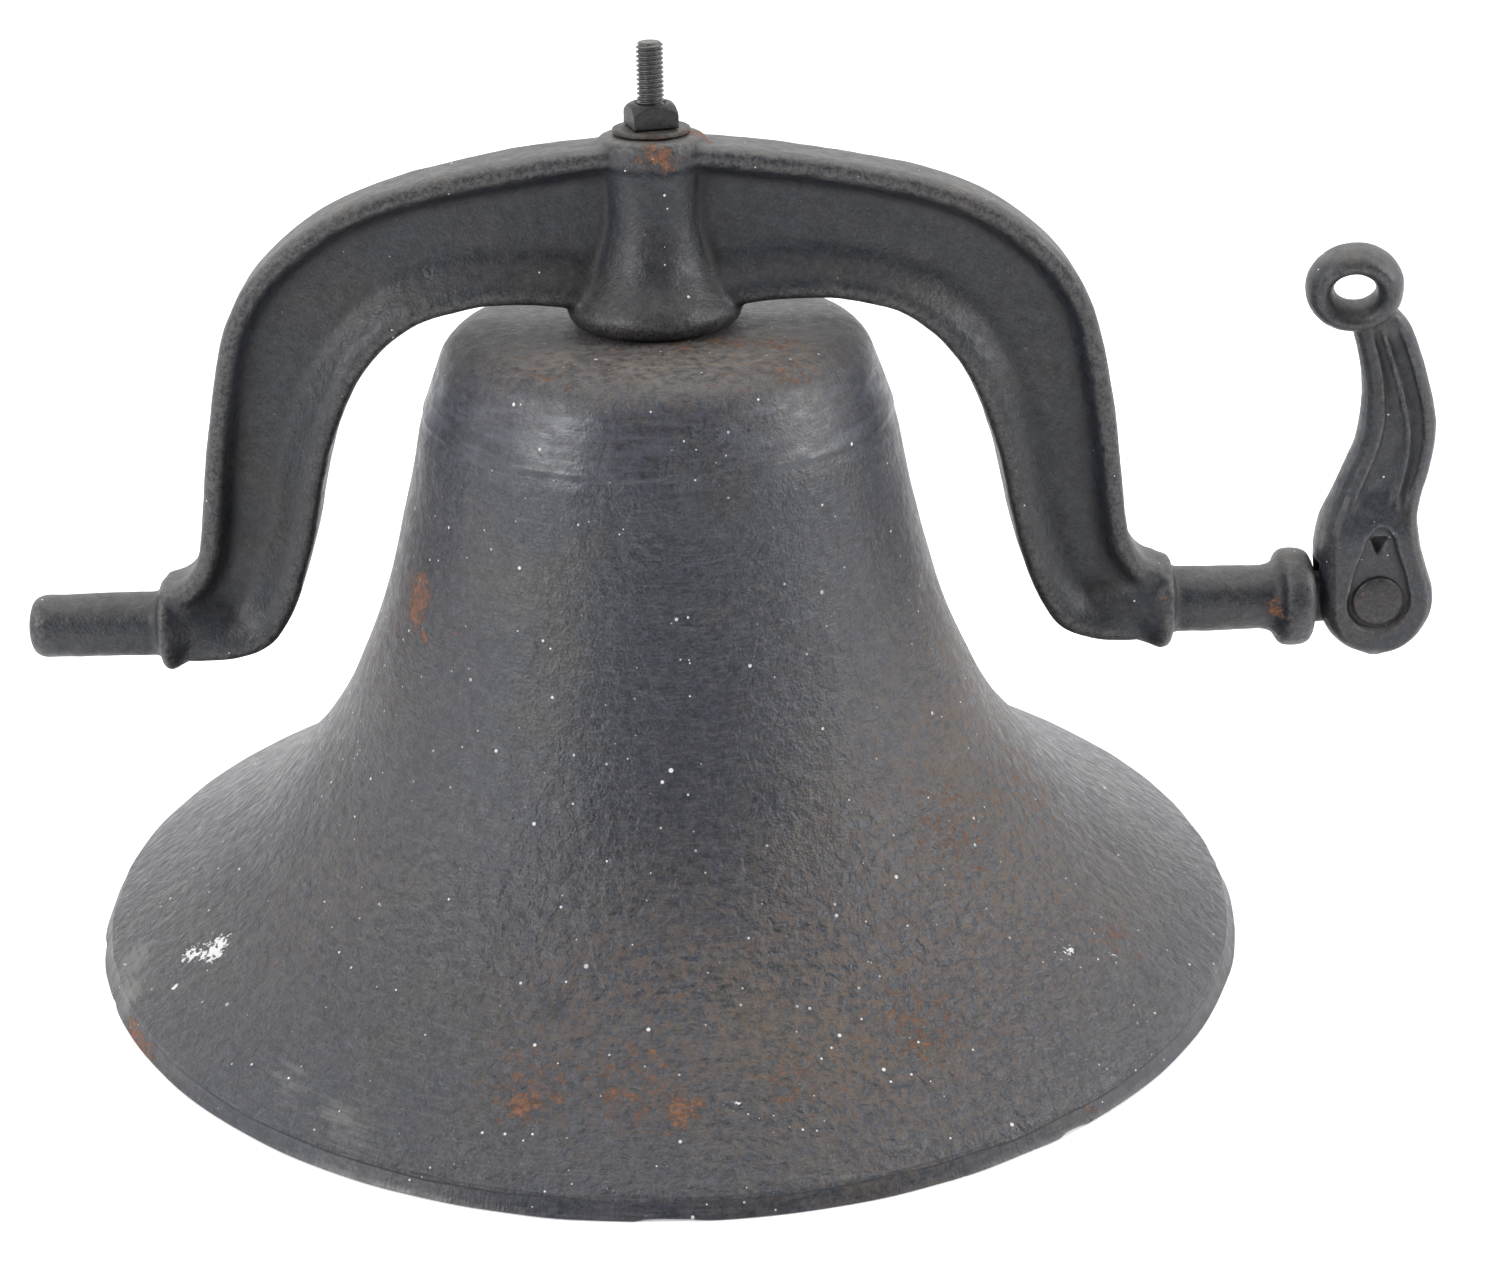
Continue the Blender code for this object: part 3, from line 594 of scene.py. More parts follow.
def bell_material():
    """Weathered paint on rough cast iron, smoother on the shoulder band with a painted bluish highlight on
    it, ground at the rim.
    """
    s = Shader("bell_paint")
    x, y, z = s.split(s.place)
    x = s.math("SUBTRACT", x, AXIS.x / MM)
    flat = s.node("CombineXYZ")
    s.feed(flat.inputs[0], x)
    s.feed(flat.inputs[1], y)
    radius = s.vector_math("LENGTH", flat.outputs[0])
    round_way = s.vector_math("NORMALIZE", flat.outputs[0])
    down_way = s.math("SUBTRACT", radius, z)

    def swept(along, across):
        """Place for noise that runs along mm round the bell (at 110 mm radius), across mm down it."""
        stretched = s.vector_math("SCALE", round_way, scale=110.0 / along)
        offset = s.node("CombineXYZ")
        s.feed(offset.inputs[2], s.times(down_way, 1.0 / across))
        return s.vector_math("ADD", stretched, offset.outputs[0])

    flange = s.step(radius, 105.0, 150.0)
    band = s.times(s.step(z, 192.0, 201.0), s.step(z, 225.0, 219.0))
    rim = s.step(radius, RIM_RADIUS - RIM_SLANT - 0.2, RIM_RADIUS - RIM_SLANT + 0.2)

    colour = paint_colour(s, 46.0)
    brown = s.times(s.attribute("brown"), s.step(s.noise(3.2, 5, 0.75), 0.42, 0.60))
    up = s.up()
    settled = s.times(s.step(up, 0.25, 1.0), s.step(s.noise(4.0, 6, 0.75), 0.36, 0.64, 0.15, 1.0))
    dash = s.noise(1.0, 3, 0.6, place=swept(7.0, 1.2))
    crown = s.step(z, 218.0, 228.0)
    dust = s.times(settled, s.between(crown, 0.05, s.add(s.times(s.attribute("brown"), 0.30), 0.20)))
    rust_noise = s.noise(3.2, 8, 0.75, warp=0.5)
    rust_place = s.add(s.times(s.attribute("rust"), 0.34), s.times(s.attribute("brown"), 0.085))
    rust = s.step(s.add(rust_place, rust_noise), 0.735, 0.81)
    strokes = s.times(s.noise(1.0, 4, 0.6, place=swept(11.0, 3.0)), 0.5)
    stroke = s.add(strokes, s.times(s.noise(1.4, 4, 0.7), 0.2))
    scuff = s.step(s.add(s.times(s.attribute("scuff"), 0.45), stroke), 0.56, 0.78)
    drops = s.times(s.noise(2.0, 4, 0.6), 0.8)
    splash = s.step(s.add(s.times(s.attribute("splash"), 0.52), drops), 0.80, 0.84)
    flecks = s.math("MAXIMUM", s.flecks(8.5, 0.80, 0.11), s.flecks(3.6, 0.36, 0.15))
    cloud = s.step(s.noise(30.0, 3, 0.5), 0.42, 0.62)
    flecks = s.times(flecks, s.between(cloud, 0.5, 1.0))
    pits = s.times(s.attribute("pits"), s.step(s.noise(1.6, 4, 0.7), 0.47, 0.62))
    # Glossier streaks on the shoulder band. The same mask also lays a pale bluish colour there as a painted
    # highlight.
    gloss_and_painted_highlight = s.times(band, s.step(s.noise(1.0, 4, 0.62, place=swept(26.0, 5.0)), 0.44, 0.62))

    rust_breaks = s.step(s.noise(1.3, 4, 0.7), 0.30, 0.60, 0.15, 0.85)
    gloss = s.step(s.noise(5.0, 4, 0.6), 0.3, 0.7, 0.34, 0.50)
    colour, roughness = layered(s, colour, gloss, [
        (s.times(s.step(dash, 0.50, 0.72), 0.10), DUST, 0.6),
        (s.times(brown, 0.70), (0.118, 0.080, 0.054), 0.72),
        # painted highlight: pale bluish colour on the shoulder band's glossier streaks, which are also less
        # rough
        (s.times(gloss_and_painted_highlight, 0.30), (0.096, 0.104, 0.132), 0.22),
        (dust, DUST, 0.80),
        (s.times(pits, 0.9), DARK_PAINT_AND_SHADE, 0.6),
        (s.times(rust, rust_breaks), rust_colour(s, 2.0), 0.88),
        (s.times(scuff, 0.48), SCUFF, 0.62),
        (s.times(splash, 0.85), CHALK, 0.75),
        (s.times(flecks, 0.85), CHALK, 0.7),
    ])

    peel = s.times(s.noise(4.8, 3, 0.55, warp=0.4), s.between(flange, 0.80, 1.7))
    grain = s.times(s.noise(1.1, 3, 0.6), s.between(crown, 0.34, 0.9))
    dashes = s.times(dash, s.between(flange, 0.24, 0.08))
    ripple = s.times(s.noise(1.0, 3, 0.6, place=swept(2.4, 9.0)), flange, 0.30)
    smooth_band = s.between(s.math("MAXIMUM", s.times(band, 0.75), rim), 1.0, 0.12)
    lines = s.times(s.noise(1.0, 2, 0.6, place=swept(0.35, 30.0)), rim, 0.10)
    body = s.times(s.add(peel, grain, dashes, ripple), smooth_band)
    s.relief(s.add(body, lines, s.times(rust, -0.10), s.times(pits, -0.25), s.times(splash, 0.20)))
    return s.done(colour, roughness)


def iron_material(name, drift, dust_share, rust_share, relief, gloss, shade):
    """Dark paint on cast iron with dust on top, edges lightened partly as wear and partly as a painted
    highlight, painted shade in corners, and rust where it is marked.
    """
    s = Shader(name)
    colour = paint_colour(s, drift, shade)
    edge = s.attribute("edge")
    # Lighter proud edges: partly edge wear, partly a painted highlight along the edges.
    proud = s.times(s.step(edge, 0.15, 0.75), s.step(s.noise(1.8, 5, 0.7), 0.35, 0.65))
    # Painted shade: the paint is darkened in corners and creases, where shade falls.
    corner = s.step(edge, -0.15, -0.75)
    settled = s.times(s.step(s.up(), 0.35, 0.95), s.step(s.noise(6.0, 5, 0.7), 0.25, 0.7, 0.4, 1.0))
    rust = s.step(s.add(s.times(s.attribute("rust"), 0.36), s.noise(3.2, 8, 0.72, warp=0.5)), 0.74, 0.81)
    flecks = s.math("MAXIMUM", s.flecks(7.5, 0.30, 0.085), s.flecks(3.2, 0.12, 0.13))
    colour, roughness = layered(s, colour, s.step(s.noise(4.0, 4, 0.6), 0.3, 0.7, gloss, gloss + 0.14), [
        # painted shade in corners and creases
        (s.times(corner, 0.75), DARK_PAINT_AND_SHADE, 0.7),
        # lighter edges: partly wear, partly a painted highlight
        (s.times(proud, 0.20), DUST, 0.5),
        (s.times(settled, dust_share), DUST, 0.82),
        (s.times(rust, rust_share), rust_colour(s, 1.6), 0.88),
        (s.times(flecks, 0.8), CHALK, 0.7),
    ])
    grain = s.add(s.times(s.noise(1.0, 3, 0.62), 0.5), s.times(s.noise(3.0, 3, 0.55), 0.9))
    s.relief(s.add(s.times(grain, relief), s.times(rust, -0.08)))
    return s.done(colour, roughness)


def steel_material(name, steel, rust_amount, gloss, relief=0.03):
    """Bare darkened steel, brown in its hollows."""
    s = Shader(name)
    value = s.step(s.noise(1.4, 4, 0.65), 0.3, 0.7, 0.75, 1.25)
    colour = s.blend(1.0, steel, grey(s, value), "MULTIPLY")
    rust = s.step(s.noise(2.2, 7, 0.7, warp=0.4), 0.70 - rust_amount, 0.80 - rust_amount)
    roughness = s.step(s.noise(0.8, 3, 0.6), 0.3, 0.7, gloss, gloss + 0.2)
    colour, roughness = layered(s, colour, roughness, [
        (s.times(rust, 0.9), rust_colour(s, 1.0), 0.88),
    ])
    s.relief(s.times(s.noise(0.5, 3, 0.6), relief))
    return s.done(colour, roughness, s.between(rust, 0.75, 0.0))


def rusty_iron_material():
    """Bare clapper casting, brown with rust, rubbed where it strikes."""
    s = Shader("clapper_iron")
    mottle = s.step(s.noise(5.0, 6, 0.7), 0.3, 0.7)
    colour = s.blend(mottle, (0.040, 0.032, 0.028), (0.120, 0.062, 0.036))
    scale_spots = s.step(s.noise(2.0, 7, 0.75), 0.56, 0.66)
    colour, roughness = layered(s, colour, 0.72, [
        (s.times(scale_spots, 0.5), RUST_BRIGHT, 0.9),
        (s.times(s.attribute("rubbed"), 0.8), (0.16, 0.15, 0.145), 0.38),
    ])
    s.relief(s.add(s.times(s.noise(1.0, 4, 0.65), 0.12), s.times(s.noise(3.5, 3, 0.6), 0.2)))
    return s.done(colour, roughness, 0.2)


# ---------------------------------------------------------------- bell

def bell_outline():
    """Outside of the bell from the crown's flat down to the rim band, as (radius, height)."""
    shoulder = [(60, 229.4), (68.2, 228.3), (73, 225.6), (76.4, 221.4), (78.4, 216.4), (80.4, 210.8)]
    waist = [(82.8, 203.5), (85.4, 195), (89.6, 175), (95.8, 150), (103.3, 125), (113.6, 100),
             (124.2, 80), (139.6, 60)]
    flange = [(157.5, 42.5), (175.5, 30), (190.8, 20.2), (204, 12.4), (RIM_RADIUS - RIM_SLANT - 0.3, 7.3)]
    return smooth_line(shoulder + waist + flange, 12)


def bell_wall(height):
    at_rim = 2.6 * np.exp(-height / 25.0)
    at_crown = (CROWN_TOP - CEILING - WAIST_WALL) * np.clip((height - 180.0) / (CROWN_TOP - 180.0), 0, 1)
    return WAIST_WALL + at_rim + at_crown


def line_normals(line):
    """Unit normals of a (radius, height) line that runs down the outside, pointing out."""
    along = np.gradient(line, axis=0)
    along /= np.linalg.norm(along, axis=1, keepdims=True)
    return np.stack([-along[:, 1], along[:, 0]], axis=1)


def ledge(height):
    """The shoulder band's lower edge stands proud of the waist by half a millimetre."""
    tail = np.exp(-np.maximum(height - 200.2, 0.0) / 5.0)
    return 0.5 * tail * eased(height, 197.8, 200.4)


def bell_rows():
    """Closed section of the bell: outside, rim, inside, as one loop of (radius, height)."""
    outline = bell_outline()

    def spacing(radius, height):
        near_ledge = abs(height - 200.5) < 3.5
        return 0.5 if near_ledge else 2.45

    outside = respaced(outline, spacing)
    outside = outside + line_normals(outside) * ledge(outside[:, 1])[:, None]
    inside = respaced(outline, lambda radius, height: 5.4)
    inside = inside - line_normals(inside) * bell_wall(inside[:, 1])[:, None]
    inside = inside[inside[:, 1] > 3.0]
    crown = np.array([(radius, CROWN_TOP) for radius in (BOLT_HOLE_RADIUS, 14, 24, 32, 40, 48, 54)])
    radius = RIM_RADIUS
    lean = RIM_SLANT / RIM_BAND
    band = np.array([(radius - lean * z, z) for z in (RIM_BAND + 0.5, RIM_BAND - 0.2, 4.6, 3.0, 1.6)]
                    + [(radius - 0.1, 0.7), (radius - 0.7, 0.0)])
    face = np.array([(radius - 2.5, 0.0), (radius - 5.0, 0.0), (RIM_FACE_INNER + 0.5, 0.0),
                     (RIM_FACE_INNER - 0.4, 0.5)])
    ceiling = np.array([(r, CEILING) for r in (48, 36, 26, 18, 11, BOLT_HOLE_RADIUS)])
    return np.vstack([crown, outside, band, face, inside[::-1], ceiling]), len(crown) + len(outside)


def make_bell():
    section, outside_count = bell_rows()
    angles = np.arange(AROUND) * math.tau / AROUND
    rows = np.zeros((len(section), AROUND, 3))
    rows[:, :, 0] = section[:, :1] * np.cos(angles)
    rows[:, :, 1] = section[:, :1] * np.sin(angles)
    rows[:, :, 2] = section[:, 1:]
    loop = np.vstack([section[-1:], section, section[:1]])
    normals = line_normals(loop)[1:-1]
    ways = np.zeros_like(rows)
    ways[:, :, 0] = normals[:, :1] * np.cos(angles)
    ways[:, :, 1] = normals[:, :1] * np.sin(angles)
    ways[:, :, 2] = normals[:, 1:]

    points = rows.reshape(-1, 3)
    lumps = 0.40 * waves(points, 150.0, 1) + 0.20 * waves(points, 55.0, 2) + 0.13 * waves(points, 21.0, 3)
    lumps = lumps.reshape(rows.shape[:2])
    radius, height = section[:, 0], section[:, 1]
    outer = np.arange(len(section)) < outside_count
    hold = eased(radius, 34.0, 50.0) * eased(height, RIM_BAND, RIM_BAND + 6.0)
    hold[~outer] = 0.8 * hold[~outer]
    rows += ways * (lumps * hold[:, None])[:, :, None]

    # the rim band wavers a little, and its lower edge is chipped in a few places
    band = radius > RIM_RADIUS - RIM_SLANT - 0.5
    circle = np.stack([np.cos(angles), np.sin(angles), np.zeros(AROUND)], axis=1) * RIM_RADIUS
    waver = -0.25 - 0.25 * waves(circle, 34.0, 7)
    chips = eased(waves(circle, 30.0, 8) + 0.5 * waves(circle, 11.0, 9), 0.85, 1.5)
    for row in np.flatnonzero(band):
        low = 1.0 - float(eased(height[row], 0.0, 3.6))
        rows[row, :, :2] *= (1.0 + (waver - 0.6 * chips * low) / RIM_RADIUS)[:, None]
        rows[row, :, 2] += 0.7 * chips * low

    bell = tube_grid("bell_casting", rows)
    mark_bell(bell)
    return placed(bell, AXIS, sharp_angle=50.0)


def on_bell(*spots):
    """Blobs on the bell's outside, as (azimuth, height, size, strength).

    Azimuth is in degrees from the front, growing to the right.
    """
    outline = bell_outline()[::-1]
    blobs = []
    for azimuth, height, size, strength in spots:
        radius = float(np.interp(height, outline[:, 1], outline[:, 0]))
        angle = math.radians(azimuth)
        blobs.append((radius * math.sin(angle), -radius * math.cos(angle), height, size, strength))
    return blobs


def mark_bell(bell):
    """Where the weather has left its marks. Crown marks are given as (x, y, z, size, strength)."""
    points = vertex_array(bell)
    rust_blobs = on_bell(
        (-62, 148, 9, 1.0), (-61, 139, 7, 1.0), (-47, 140, 4, 0.9), (-56, 133, 3, 0.8),
        (-17, 25, 22, 0.55), (-15, 22, 5, 0.7), (-4, 24, 22, 0.5), (1, 22, 6, 0.8), (60, 26, 16, 0.6),
        (75, 60, 26, 0.5), (-2, 50, 26, 0.35), (-52, 34, 20, 0.4), (28, 30, 24, 0.5), (12, 26, 16, 0.5),
        (48, 70, 30, 0.4), (-20, 225, 9, 0.4), (22, 226, 12, 0.4), (40, 227, 12, 0.5),
        (-35, 228, 12, 0.5), (-64, 1, 7, 1.0), (-61, 1, 7, 1.0), (-58, 1, 6, 0.9), (40, 1, 7, 0.8),
        (150, 40, 30, 0.5), (-160, 160, 16, 0.6), (178, 20, 18, 0.6), (120, 120, 12, 0.7),
        (-112, 30, 20, 0.5),
    )
    rust_blobs += [
        (8, -33, 229, 6, 0.8), (22, -26, 229, 7, 0.8), (-14, -32, 229, 5, 0.8), (42, -30, 229, 13, 0.6),
    ]
    mark(bell, "rust", spots_field(points, rust_blobs))
    brown_blobs = on_bell(
        (55, 62, 70, 0.9), (20, 30, 55, 0.8), (-10, 40, 45, 0.6), (-55, 48, 46, 0.5),
        (80, 110, 50, 0.6), (-80, 120, 50, 0.6), (160, 60, 80, 0.8), (-140, 50, 60, 0.6),
    )
    brown_blobs += [
        (0, -52, 231, 26, 0.9), (38, -40, 230, 26, 0.9), (-38, -40, 230, 22, 0.8),
        (0, 55, 231, 40, 0.9),
    ]
    mark(bell, "brown", spots_field(points, brown_blobs))
    scuff_blobs = on_bell(
        (-73, 11, 13, 0.85), (-67, 8, 11, 0.85), (-40, 15, 14, 0.65), (-33, 13, 12, 0.62),
        (-28, 9, 12, 0.55), (14, 9, 14, 0.5), (100, 11, 16, 0.8), (-165, 12, 18, 0.7),
    )
    mark(bell, "scuff", spots_field(points, scuff_blobs))
    splash_blobs = on_bell(
        (-63, 26, 10, 1.0), (-66, 21, 5, 0.9), (-63, 16, 4, 0.9), (52, 31, 9, 0.8), (57, 24, 6, 0.7),
        (6, 23, 6, 0.7), (9, 20, 4, 0.7), (46, 47, 6, 0.7), (48, 62, 5, 0.7), (140, 60, 9, 0.8),
    )
    mark(bell, "splash", spots_field(points, splash_blobs))
    pits_blobs = on_bell(
        (-14, 42, 6, 0.9), (12, 192, 12, 0.9), (8, 204, 10, 0.9), (20, 206, 12, 0.5),
        (-70, 30, 14, 0.5), (-150, 90, 12, 0.8),
    )
    mark(bell, "pits", spots_field(points, pits_blobs))


# ---------------------------------------------------------------- yoke

def arch_ribs():
    """Lines across the right half of the arch, from its crown to the collar.

    Each is (outer x, outer z, inner x, inner z, share of the full depth, share of the pocket).
    """
    return [
        (0, 294.8, 0, 236, 1, 1), (20, 294.4, 20, 236.4, 1, 1), (38, 292.3, 35, 238.6, 1, 1),
        (60, 289, 50, 239.5, 1, 1), (81, 284.7, 62, 239.2, 1, 1), (100, 279.5, 73, 237, 1, 1),
        (118, 271.5, 84, 233.8, 1, 1), (134, 260, 93.6, 227.8, 1, 1), (146, 247.3, 102.2, 219.6, 1, 1),
        (153.4, 233.4, 108.6, 210.8, 1, 1), (157.6, 218.6, 113.4, 200.8, 1, 1),
        (161, 202.2, 117.8, 189.6, 1, 1),
        (164, 184.2, 121.7, 176.3, 1, 1), (166.5, 166, 125, 161.8, 1, 1), (168.4, 154.2, 128.6, 147.8, 1, 1),
        (170, 147.3, 133.2, 133.6, 1, 1), (172.2, 142.8, 138.7, 122, 1, 1),
        (174.6, 139.4, 145.4, 112.8, 1, 0.9), (177.2, 137.2, 156, 108, 0.97, 0.5),
        (180, 136, 168, 106.2, 0.92, 0),
        (184, 135.2, 182, 106.4, 0.86, 0),
    ]


def leaned(rib):
    """The casting's legs sit a little to the lever's side of the bell's axis."""
    shift = ARCH_SHIFT * min(1.0, abs(rib[0]) / 120.0) * rib[5]
    return rib[0] + shift, rib[1], rib[2] + shift, rib[3], rib[4], rib[5]


def arch_section(rib):
    """Closed ring across the arch: a crisp outer flange and a softer inner one, joined by a web."""
    outer = np.array((rib[0], rib[1]))
    inner = np.array((rib[2], rib[3]))
    across = (inner - outer) / np.linalg.norm(inner - outer)
    half = YOKE_HALF_DEPTH * rib[4]
    sink = (half - WEB_HALF_DEPTH) * rib[5]
    # (distance in from the edge, half depth there)
    roll = [(0.0, half - 4.6), (0.35, half - 2.6), (1.3, half - 0.9), (3.0, half)]
    room = min(1.0, math.dist(outer, inner) / 36.0)
    crisp = [(5.4, 0.0), (6.6, 0.12), (7.9, 0.42), (9.2, 0.76), (11.0, 0.96), (13.5, 1.0)]
    soft = [(5.4, 0.04), (8.4, 0.20), (11.6, 0.48), (14.8, 0.76), (17.6, 0.93), (20.0, 1.0)]
    crisp = [(distance * room, share) for distance, share in crisp]
    soft = [(distance * room, share) for distance, share in soft]
    out_edge = roll + [(distance, half - sink * share) for distance, share in crisp]
    in_edge = roll + [(distance, half - sink * share) for distance, share in soft]
    ring = []
    for side in (1, -1):
        out_points = [(*(outer + across * d), side * y) for d, y in out_edge]
        in_points = [(*(inner - across * d), side * y) for d, y in in_edge]
        path = out_points + in_points[::-1]
        ring += path if side == 1 else path[::-1]
    return [(x, y, z) for x, z, y in ring]


def make_arch():
    right = arch_ribs()
    left = [(-rib[0], rib[1], -rib[2], rib[3], rib[4], rib[5]) for rib in reversed(right[1:])]
    return skinned("arch", [arch_section(leaned(rib)) for rib in smooth_line(left + right, 5)])


def boss_solid():
    """Flared column in the middle of the arch, from its foot on the crown to the nut's pad."""
    foot = CROWN_TOP + GAP
    neck = [(19.2, 288.4), (17.6, 285.6), (16.9, 281), (16.7, 275), (16.9, 267), (19.0, 257.5),
            (22.6, 249.5), (27.0, 243.5), (30.0, 239.6), (31.3, 236.8), (31.2, 234.6), (29.6, foot + 1.8)]
    profile = [(0.0, PAD_TOP), (15.6, PAD_TOP), (17.6, PAD_TOP - 0.5), (18.9, PAD_TOP - 2.0), (19.4, 291.0)]
    profile += [tuple(point) for point in smooth_line(neck, 4)] + [(26.5, foot), (0.0, foot)]
    return turned("boss", profile, 96)


def left_trunnion():
    """Collar and plain journal on the -X side, drawn outward along -X."""
    end = LEFT_JOURNAL_END
    collar = LEFT_COLLAR_END
    profile = [(0.0, -end), (7.6, -end), (9.6, -end + 0.7), (10.9, -end + 2.2),
               (JOURNAL_RADIUS, -end + 4.6), (JOURNAL_RADIUS, -collar - 2.4),
               (JOURNAL_RADIUS + 0.8, -collar - 0.9),
               (JOURNAL_RADIUS + 2.4, -collar), (COLLAR_RADIUS - 1.4, -collar),
               (COLLAR_RADIUS, -collar + 1.5),
               (COLLAR_RADIUS - 0.2, -collar + 3.2), (COLLAR_RADIUS - 2.0, -collar + 6.4), (13.0, -173.0),
               (10.0, -160.0), (0.0, -160.0)]
    return turned("left_trunnion", profile[::-1], 72, axis="X", centre=(0, 0, JOURNAL_HEIGHT))


def right_trunnion():
    """Inner collar, journal and outer collar on the +X side."""
    inner, journal, outer, rim = RIGHT_COLLAR_END, RIGHT_JOURNAL_END, OUTER_COLLAR_END, OUTER_COLLAR_RADIUS
    profile = [(0.0, 160.0), (10.0, 160.0), (13.0, 172.0), (COLLAR_RADIUS - 1.6, inner - 6.6),
               (COLLAR_RADIUS, inner - 3.4), (COLLAR_RADIUS - 0.2, inner - 1.2),
               (COLLAR_RADIUS - 1.4, inner), (JOURNAL_RADIUS + 2.0, inner),
               (JOURNAL_RADIUS + 0.6, inner + 0.8), (JOURNAL_RADIUS, inner + 2.4),
               (JOURNAL_RADIUS, journal - 5.0), (JOURNAL_RADIUS + 0.7, journal - 2.2),
               (JOURNAL_RADIUS + 2.4, journal), (rim - 1.6, journal + 0.6), (rim - 0.3, journal + 2.4),
               (rim, journal + 4.6), (rim, outer - 4.4),
               (rim - 0.8, outer - 1.8), (rim - 2.4, outer - 0.4), (rim - 4.0, outer), (0.0, outer)]
    return turned("right_trunnion", profile, 72, axis="X", centre=(0, 0, JOURNAL_HEIGHT))


def lug_solid():
    """Flat eye that the lever's fork straddles."""
    start = OUTER_COLLAR_END - 4.0
    top = JOURNAL_HEIGHT + LUG_HALF_HEIGHT
    bottom = JOURNAL_HEIGHT - LUG_HALF_HEIGHT
    outline = [(start, bottom), (start + 7.0, bottom)]
    outline += arc((LEVER_X, LEVER_Z), LUG_RADIUS, -125, 125, 40)
    outline += [(start + 7.0, top), (start, top)]
    return slab("lug", outline, -LUG_HALF_DEPTH, LUG_HALF_DEPTH)


def make_yoke():
    yoke = heaped("yoke_casting", [make_arch(), boss_solid(), left_trunnion(), right_trunnion(), lug_solid()])
    cast(yoke, voxel=1.2, smoothing=5)
    roughened(yoke, (60.0, 0.28, 11), (18.0, 0.12, 12), (7.0, 0.07, 13))
    combine(yoke, rod("bolt_hole", BOLT_HOLE_RADIUS, CROWN_TOP - 5, PAD_TOP + 5), "DIFFERENCE")
    pin_hole = rod("pin_hole", PIN_RADIUS + GAP, -20, 20, axis="Y", centre=(LEVER_X, 0, LEVER_Z))
    combine(yoke, pin_hole, "DIFFERENCE")
    for low, high in ((LUG_HALF_DEPTH + 0.1, 20), (-20, -LUG_HALF_DEPTH - 0.1)):
        facing = rod("facing", FACING_RADIUS, low, high, axis="Y", centre=(LEVER_X, 0, LEVER_Z))
        combine(yoke, facing, "DIFFERENCE")
    mark_edges(yoke, reach=0.5)
    points = vertex_array(yoke)
    mark(yoke, "rust", spots_field(points, [
        (16, -2, 297, 9, 0.9), (0, -18, 294, 7, 0.8), (8, -20, 291, 6, 0.7), (-8, 0, 297, 12, 0.5),
        (227, -10, 118, 8, 0.9), (226, 10, 118, 8, 0.9), (247, 0, 118, 10, 0.8), (-232, -6, 112, 8, 0.5),
        (-140, -8, 180, 14, 0.4), (0, 30, 233, 14, 0.7), (24, -22, 231, 9, 0.6), (-70, -14, 283, 12, 0.4),
        (-130, 6, 250, 20, 0.4), (120, 8, 262, 18, 0.4), (150, 10, 120, 14, 0.5), (186, -14, 124, 7, 0.6),
    ]))
    return placed(yoke, AXIS, sharp_angle=60.0)


# ---------------------------------------------------------------- rope lever

def lever_ribs():
    """Left and right edges of the lever at heights above its pin, as (height, left, right)."""
    cheek = []
    for angle in np.radians((-86, -80, -72, -60, -46, -32, -18, -6)):
        reach = FORK_RADIUS * math.cos(angle)
        height = FORK_CENTRE[1] + FORK_RADIUS * math.sin(angle)
        cheek.append((height, FORK_CENTRE[0] - reach, FORK_CENTRE[0] + reach))
    arm = [(4, -20.5, 21.4), (12, -21.4, 18.6), (21, -21.6, 15.6), (30, -20.2, 13.9), (39, -17.0, 14.8),
           (48, -13.8, 16.8), (57, -10.7, 18.0), (66, -9.0, 18.0), (75, -8.8, 16.2), (84, -9.8, 13.4),
           (93, -12.0, 10.2), (100, -14.2, 7.2), (104.5, -15.4, 4.6), (108, -16.2, 1.4)]
    return smooth_line(cheek + arm, 4)


def lever_half_depth(height):
    """Deepest at the fork, rounded under its foot, least where the arm meets the eye."""
    depth = FORK_HALF_DEPTH + (ARM_HALF_DEPTH - FORK_HALF_DEPTH) * eased(height, 22, 44)
    depth += (ARM_END_HALF_DEPTH - ARM_HALF_DEPTH) * eased(height, 60, 100)
    return depth - 5.0 * (1.0 - eased(height, -24.5, -18))


def lever_section(rib):
    """Ring at one height: drafted sides, and in each face two channels beside a slanting rib."""
    height, left, right = rib
    half = lever_half_depth(height)
    width = right - left
    draft = min(LEVER_DRAFT, 0.3 * width)
    low, high = left + draft, right - draft
    sink = CHANNEL_DEPTH * eased(height, 30, 42) * (1.0 - eased(height, 96, 106))
    rib_place = 0.72 - 0.30 * eased(height, 38, 100)
    across = np.linspace(0.0, 1.0, 26)
    border = eased(across, 0.05, 0.17) * (1.0 - eased(across, 0.86, 0.96))
    ridge = 1.0 - 0.92 * np.exp(-((across - rib_place) / 0.085) ** 2)
    face = [(low + (high - low) * share, half - sink * depth) for share, depth in zip(across, border * ridge)]
    left_wall = [(left, 0.16 * half), (left + 0.14 * draft, 0.52 * half), (left + 0.45 * draft, 0.82 * half)]
    right_wall = [(left + right - x, depth) for x, depth in reversed(left_wall)]
    path = left_wall + face + right_wall
    return [(x, depth, height) for x, depth in path] + [(x, -depth, height) for x, depth in reversed(path)]


def rope_eye():
    """Slightly oval ring that the rope ties to, turned a little and its top leaning forward."""
    across, along = EYE_SECTION
    profile = []
    for angle in np.linspace(0.0, math.tau, 32, endpoint=False):
        profile.append((EYE_RING_RADIUS + across * math.cos(angle), along * math.sin(angle)))
    eye = turned("eye", profile, 72, closed=True, axis="Y")
    turn = Matrix.Rotation(EYE_TURN, 4, "Z") @ Matrix.Rotation(EYE_LEAN, 4, "X")
    eye.data.transform(Matrix.Translation(EYE_CENTRE) @ turn @ Matrix.Diagonal((1, 1, EYE_HEIGHT_SHARE, 1)))
    return eye


def fork_slot():
    """Slot for the lug, open from the side facing the yoke round to below the pin."""
    outline = [(-60, -60), (SLOT_RADIUS, -60)] + arc((0, 0), SLOT_RADIUS, 0, 100, 24) + [(-6, 14), (-60, 12)]
    half = LUG_HALF_DEPTH + GAP
    return slab("fork_slot", outline, -half, half)


